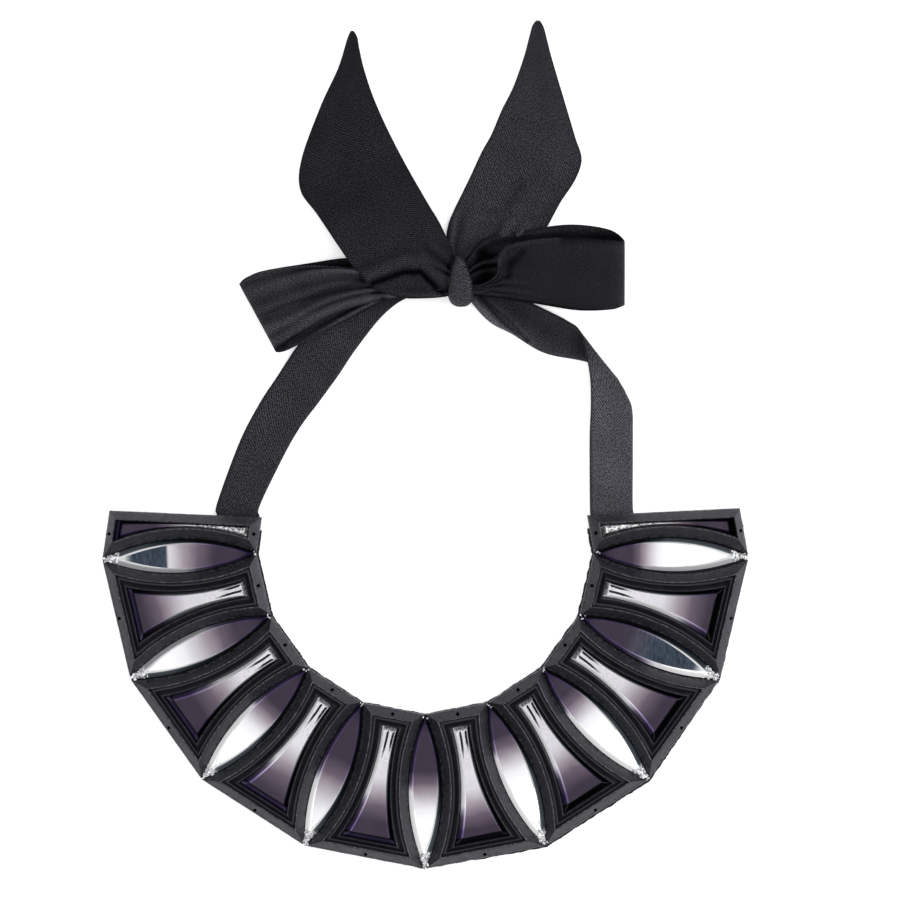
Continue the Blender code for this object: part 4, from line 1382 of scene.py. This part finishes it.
def on_bow(rows):
    """Rows that end in a line through points in the bow's shares, with that line in metres."""
    return [
        (*rest, [KNOT_CENTRE + Vector(point) * RIBBON_WIDTH for point in line])
        for *rest, line in rows
    ]


def nearness(spot, width, line):
    """How near a point lies to a line through several points: 1 on it, and less away from it."""
    best = 1.0
    for start, stop in zip(line, line[1:]):
        along = stop - start
        share = min(max((spot - start).dot(along) / along.length_squared, 0.0), 1.0)
        best = min(best, (start + along * share - spot).length)
    return math.exp(-(best / width) ** 2)


def pressed(grid, folds, whole=True):
    """Presses folds into a whole ribbon, or only into the upper half of a loop."""
    lines = on_bow(folds)
    result = []
    for row, line in enumerate(grid):
        weight = 1.0 if whole else smooth_step(*LOOP_TURN, row / (len(grid) - 1))
        result.append([
            point + up(weight * sum(
                height * nearness(point.xy, width, path) for height, width, path in lines))
            for point in line
        ])
    return result


def rippled(grid, amount, seed):
    """Slow swells across a ribbon that isn't pressed flat, and that stays above the table."""
    shift = Vector((seed, 2.0 * seed, 0.0))
    result = []
    for line in grid:
        swells = [amount * (0.5 + noise.noise(point * 70.0 + shift)) for point in line]
        result.append([
            Vector((point.x, point.y, max(point.z + swell, SATIN_THICKNESS)))
            for point, swell in zip(line, swells)
        ])
    return result


def painted_fold_light(grid, tones):
    """Painted shade and highlight of a ribbon at each point: 0 deep in a fold or in a painted
    shadow, 1 high on a ridge or on a painted highlight.
    """
    lines = on_bow(tones)
    rows, steps = len(grid) - 1, len(grid[0]) - 1
    values = []
    for row, line in enumerate(grid):
        before, after = grid[max(row - CREASE_REACH, 0)], grid[min(row + CREASE_REACH, rows)]
        for step, point in enumerate(line):
            left, right = line[max(step - CREASE_REACH, 0)], line[min(step + CREASE_REACH, steps)]
            rise = point.z - (left.z + right.z + before[step].z + after[step].z) / 4
            value = 0.5 + rise / CREASE_DEPTH + sum(
                0.5 * strength * nearness(point.xy, width, path)
                for strength, width, (start, stop), path in lines if start <= row / rows <= stop
            )
            values.append(min(max(value, 0.0), 1.0))
    return values


def cloth_mesh(name, grid, tones):
    """An open sheet with its lengths along and across kept as UVs, and its selvedges marked."""
    work = bmesh.new()
    rows = [[work.verts.new(point) for point in line] for line in grid]
    last = len(grid[0]) - 1
    along, lengths = 0.0, [0.0]
    for lower, upper, near, far in zip(rows, rows[1:], grid, grid[1:]):
        for step in range(last):
            work.faces.new((lower[step], lower[step + 1], upper[step + 1], upper[step]))
        along += (far[last // 2] - near[last // 2]).length
        lengths.append(along)
    mesh = mesh_of(name, work)
    flat = [(across, length) for length in lengths for across in stations(0.0, RIBBON_WIDTH, last)]
    set_cloth(mesh, flat)
    set_values(mesh, "selvedge", [
        smooth_step(*SELVEDGE, min(across, RIBBON_WIDTH - across)) for across, _ in flat])
    set_values(mesh, "crease", painted_fold_light(grid, tones))
    mesh.shade_smooth()
    return mesh, along


def build_ribbon(name, grid, material, replaced):
    mesh, length = cloth_mesh(name, grid, TONES.get(replaced, ()))
    ribbon = add_piece(name, mesh, material, [replaced])
    shell = ribbon.modifiers.new("thickness", "SOLIDIFY")
    shell.thickness = SATIN_THICKNESS
    shell.offset = 0.0


def knot_half_width(level):
    """Half the knot's width from its lower end, level -1, to its narrow upper end, level 1."""
    full = (1 - level ** 2) ** KNOT_FULLNESS
    return KNOT_SIDE * KNOT_WIDTH * full * (1 - KNOT_TAPER * level)


def build_knot():
    """The knot: a smooth pebble of ribbon pulled over the bow, fuller at its lower end."""
    loops = []
    for level in stations(0.0, 1.0, KNOT_RINGS - 1):
        angle = math.pi * mix(*KNOT_SWEEP, level)
        rise = 0.5 - 0.5 * math.cos(angle)
        size = math.sin(angle) ** KNOT_SQUARENESS[level > 0.5]
        loop = []
        for spoke in range(KNOT_SPOKES):
            turn = 2 * math.pi * spoke / KNOT_SPOKES
            height = min(max(math.sin(turn), -0.9995), 0.9995)
            x = size * math.copysign(knot_half_width(height), math.cos(turn)) - KNOT_LEAN * height
            x *= min(abs(math.cos(turn)) * 12, 1.0)
            y = KNOT_LENGTH / 2 * size * height
            swell = KNOT_SWELL * noise.noise(Vector((x, y, 0.0)) * 190.0)
            z = max(rise * KNOT_HEIGHT + swell * level, 0.0)
            loop.append(Vector((KNOT_CENTRE.x + x, KNOT_CENTRE.y + y, z)))
        loops.append(loop)
    mesh = skin("tied_knot", loops, ring=False, sharp_angle=75.0)
    points = [vertex.co for vertex in mesh.vertices]
    set_cloth(mesh, [(point.x + 0.5 * point.z, point.y + 0.3 * point.z) for point in points])
    # Painted shade and highlight: the knot darker low down and lighter towards its top
    set_values(mesh, "crease", [
        0.10 + 0.50 * smooth_step(0.45, 0.97, point.z / KNOT_HEIGHT) for point in points])
    # Painted highlight: the knot takes a half-lit copy of the satin
    add_piece("tied_knot", mesh, SATIN_PAINTED_HALF_LIGHT, ["bow_knot"])


def build_ribbons():
    # Painted light: the pieces take lit and shaded copies of the satin
    for name, index, table, material in (
        ("ribbon_strap_left", HALVES[0], LEFT_STRAP, SATIN),
        ("ribbon_strap_right", HALVES[1], RIGHT_STRAP, SATIN_PAINTED_LIGHT),
    ):
        grid = ribbon_grid(strap_rows(index, table), STRAP_SOLID / 2, CROSS_STEPS // 2)
        grid = rippled(pressed(grid, FOLDS.get(name, ())), STRAP_SWELL, len(name))
        build_ribbon(f"satin_{name}", doubled(grid), material, name)
    for name, table, material in (
        ("bow_loop_left", LEFT_LOOP, SATIN),
        ("bow_loop_right", RIGHT_LOOP, SATIN_PAINTED_SHADE),
        ("ribbon_tail_left", LEFT_TAIL, SATIN_PAINTED_SHADE),
        ("ribbon_tail_right", RIGHT_TAIL, SATIN),
    ):
        grid = ribbon_grid(bow_rows(table), RIBBON_SOLID / 2)
        ends, depth, reach = GATHERS[name]
        for end in ends:
            grid = gathered(grid, end, depth, reach)
        grid = rippled(pressed(grid, FOLDS[name], len(ends) == 1), BOW_SWELL, len(name))
        build_ribbon(f"satin_{name}", grid, material, name)


# Stage


def build_stage():
    """A pale table top, just below the felt."""
    bpy.ops.mesh.primitive_plane_add(size=6.0, location=(0.0, 0.0, -0.0001))
    table = bpy.context.object
    table.name = "table_top"
    material, tree, shader = new_material("pale_table")
    put_inputs(tree, shader, {
        "Base Color": (0.93, 0.93, 0.94),
        "Roughness": 0.9,
        "Specular IOR Level": 0.1,
        "Emission Color": (1.0, 1.0, 1.0),
        "Emission Strength": 0.35,
    })
    table.data.materials.append(material)


def build_world():
    """A white dome that is brightest overhead and dimmer towards the left."""
    world = bpy.data.worlds.new("studio")
    bpy.context.scene.world = world
    world.use_nodes = True
    tree = world.node_tree
    place = coordinates(tree, "Generated")
    split = add_node(tree, "ShaderNodeSeparateXYZ", values={"Vector": place}).outputs
    side = add_node(tree, "ShaderNodeMapRange", values={
        "Value": split["X"], "From Min": -0.9, "From Max": 0.9}).outputs["Result"]
    low = grey_ramp(tree, side, [(0.0, 0.03), (0.5, 0.20), (1.0, 0.42)])
    rise = grey_ramp(tree, split["Z"], [(0.05, 0.0), (0.45, 0.70), (0.75, 1.0)])
    put_inputs(tree, tree.nodes["Background"], {
        "Color": mix_colour(tree, rise, low, (1.0, 1.0, 1.0)), "Strength": 1.30,
    })


def build_light():
    """One soft key light from the right, aimed at the necklace."""
    data = bpy.data.lights.new("key", "AREA")
    data.shape = "RECTANGLE"
    data.size, data.size_y = KEY_SIZE
    data.energy = KEY_WATTS
    light = bpy.data.objects.new("key", data)
    light.location = KEY_PLACE
    light.rotation_mode = "QUATERNION"
    light.rotation_quaternion = (-KEY_PLACE).to_track_quat("-Z", "Y")
    bpy.context.scene.collection.objects.link(light)
    light.visible_camera = False


def build_camera():
    data = bpy.data.cameras.new("view_from_above")
    data.lens = CAMERA_LENS
    data.clip_start, data.clip_end = 0.05, 20.0
    camera = bpy.data.objects.new("view_from_above", data)
    camera.location = (CAMERA_AIM.x, CAMERA_AIM.y, CAMERA_HEIGHT)
    bpy.context.scene.collection.objects.link(camera)
    bpy.context.scene.camera = camera


def main():
    build_backing()
    for index in range(PANEL_COUNT + 2):
        build_frame(index)
        build_bar_stone(index)
    for index in range(PANEL_COUNT + 1):
        build_marquise(index)
    build_ribbons()
    build_knot()
    build_stage()
    build_world()
    build_light()
    build_camera()
    bpy.context.scene.view_settings.view_transform = "Standard"


main()
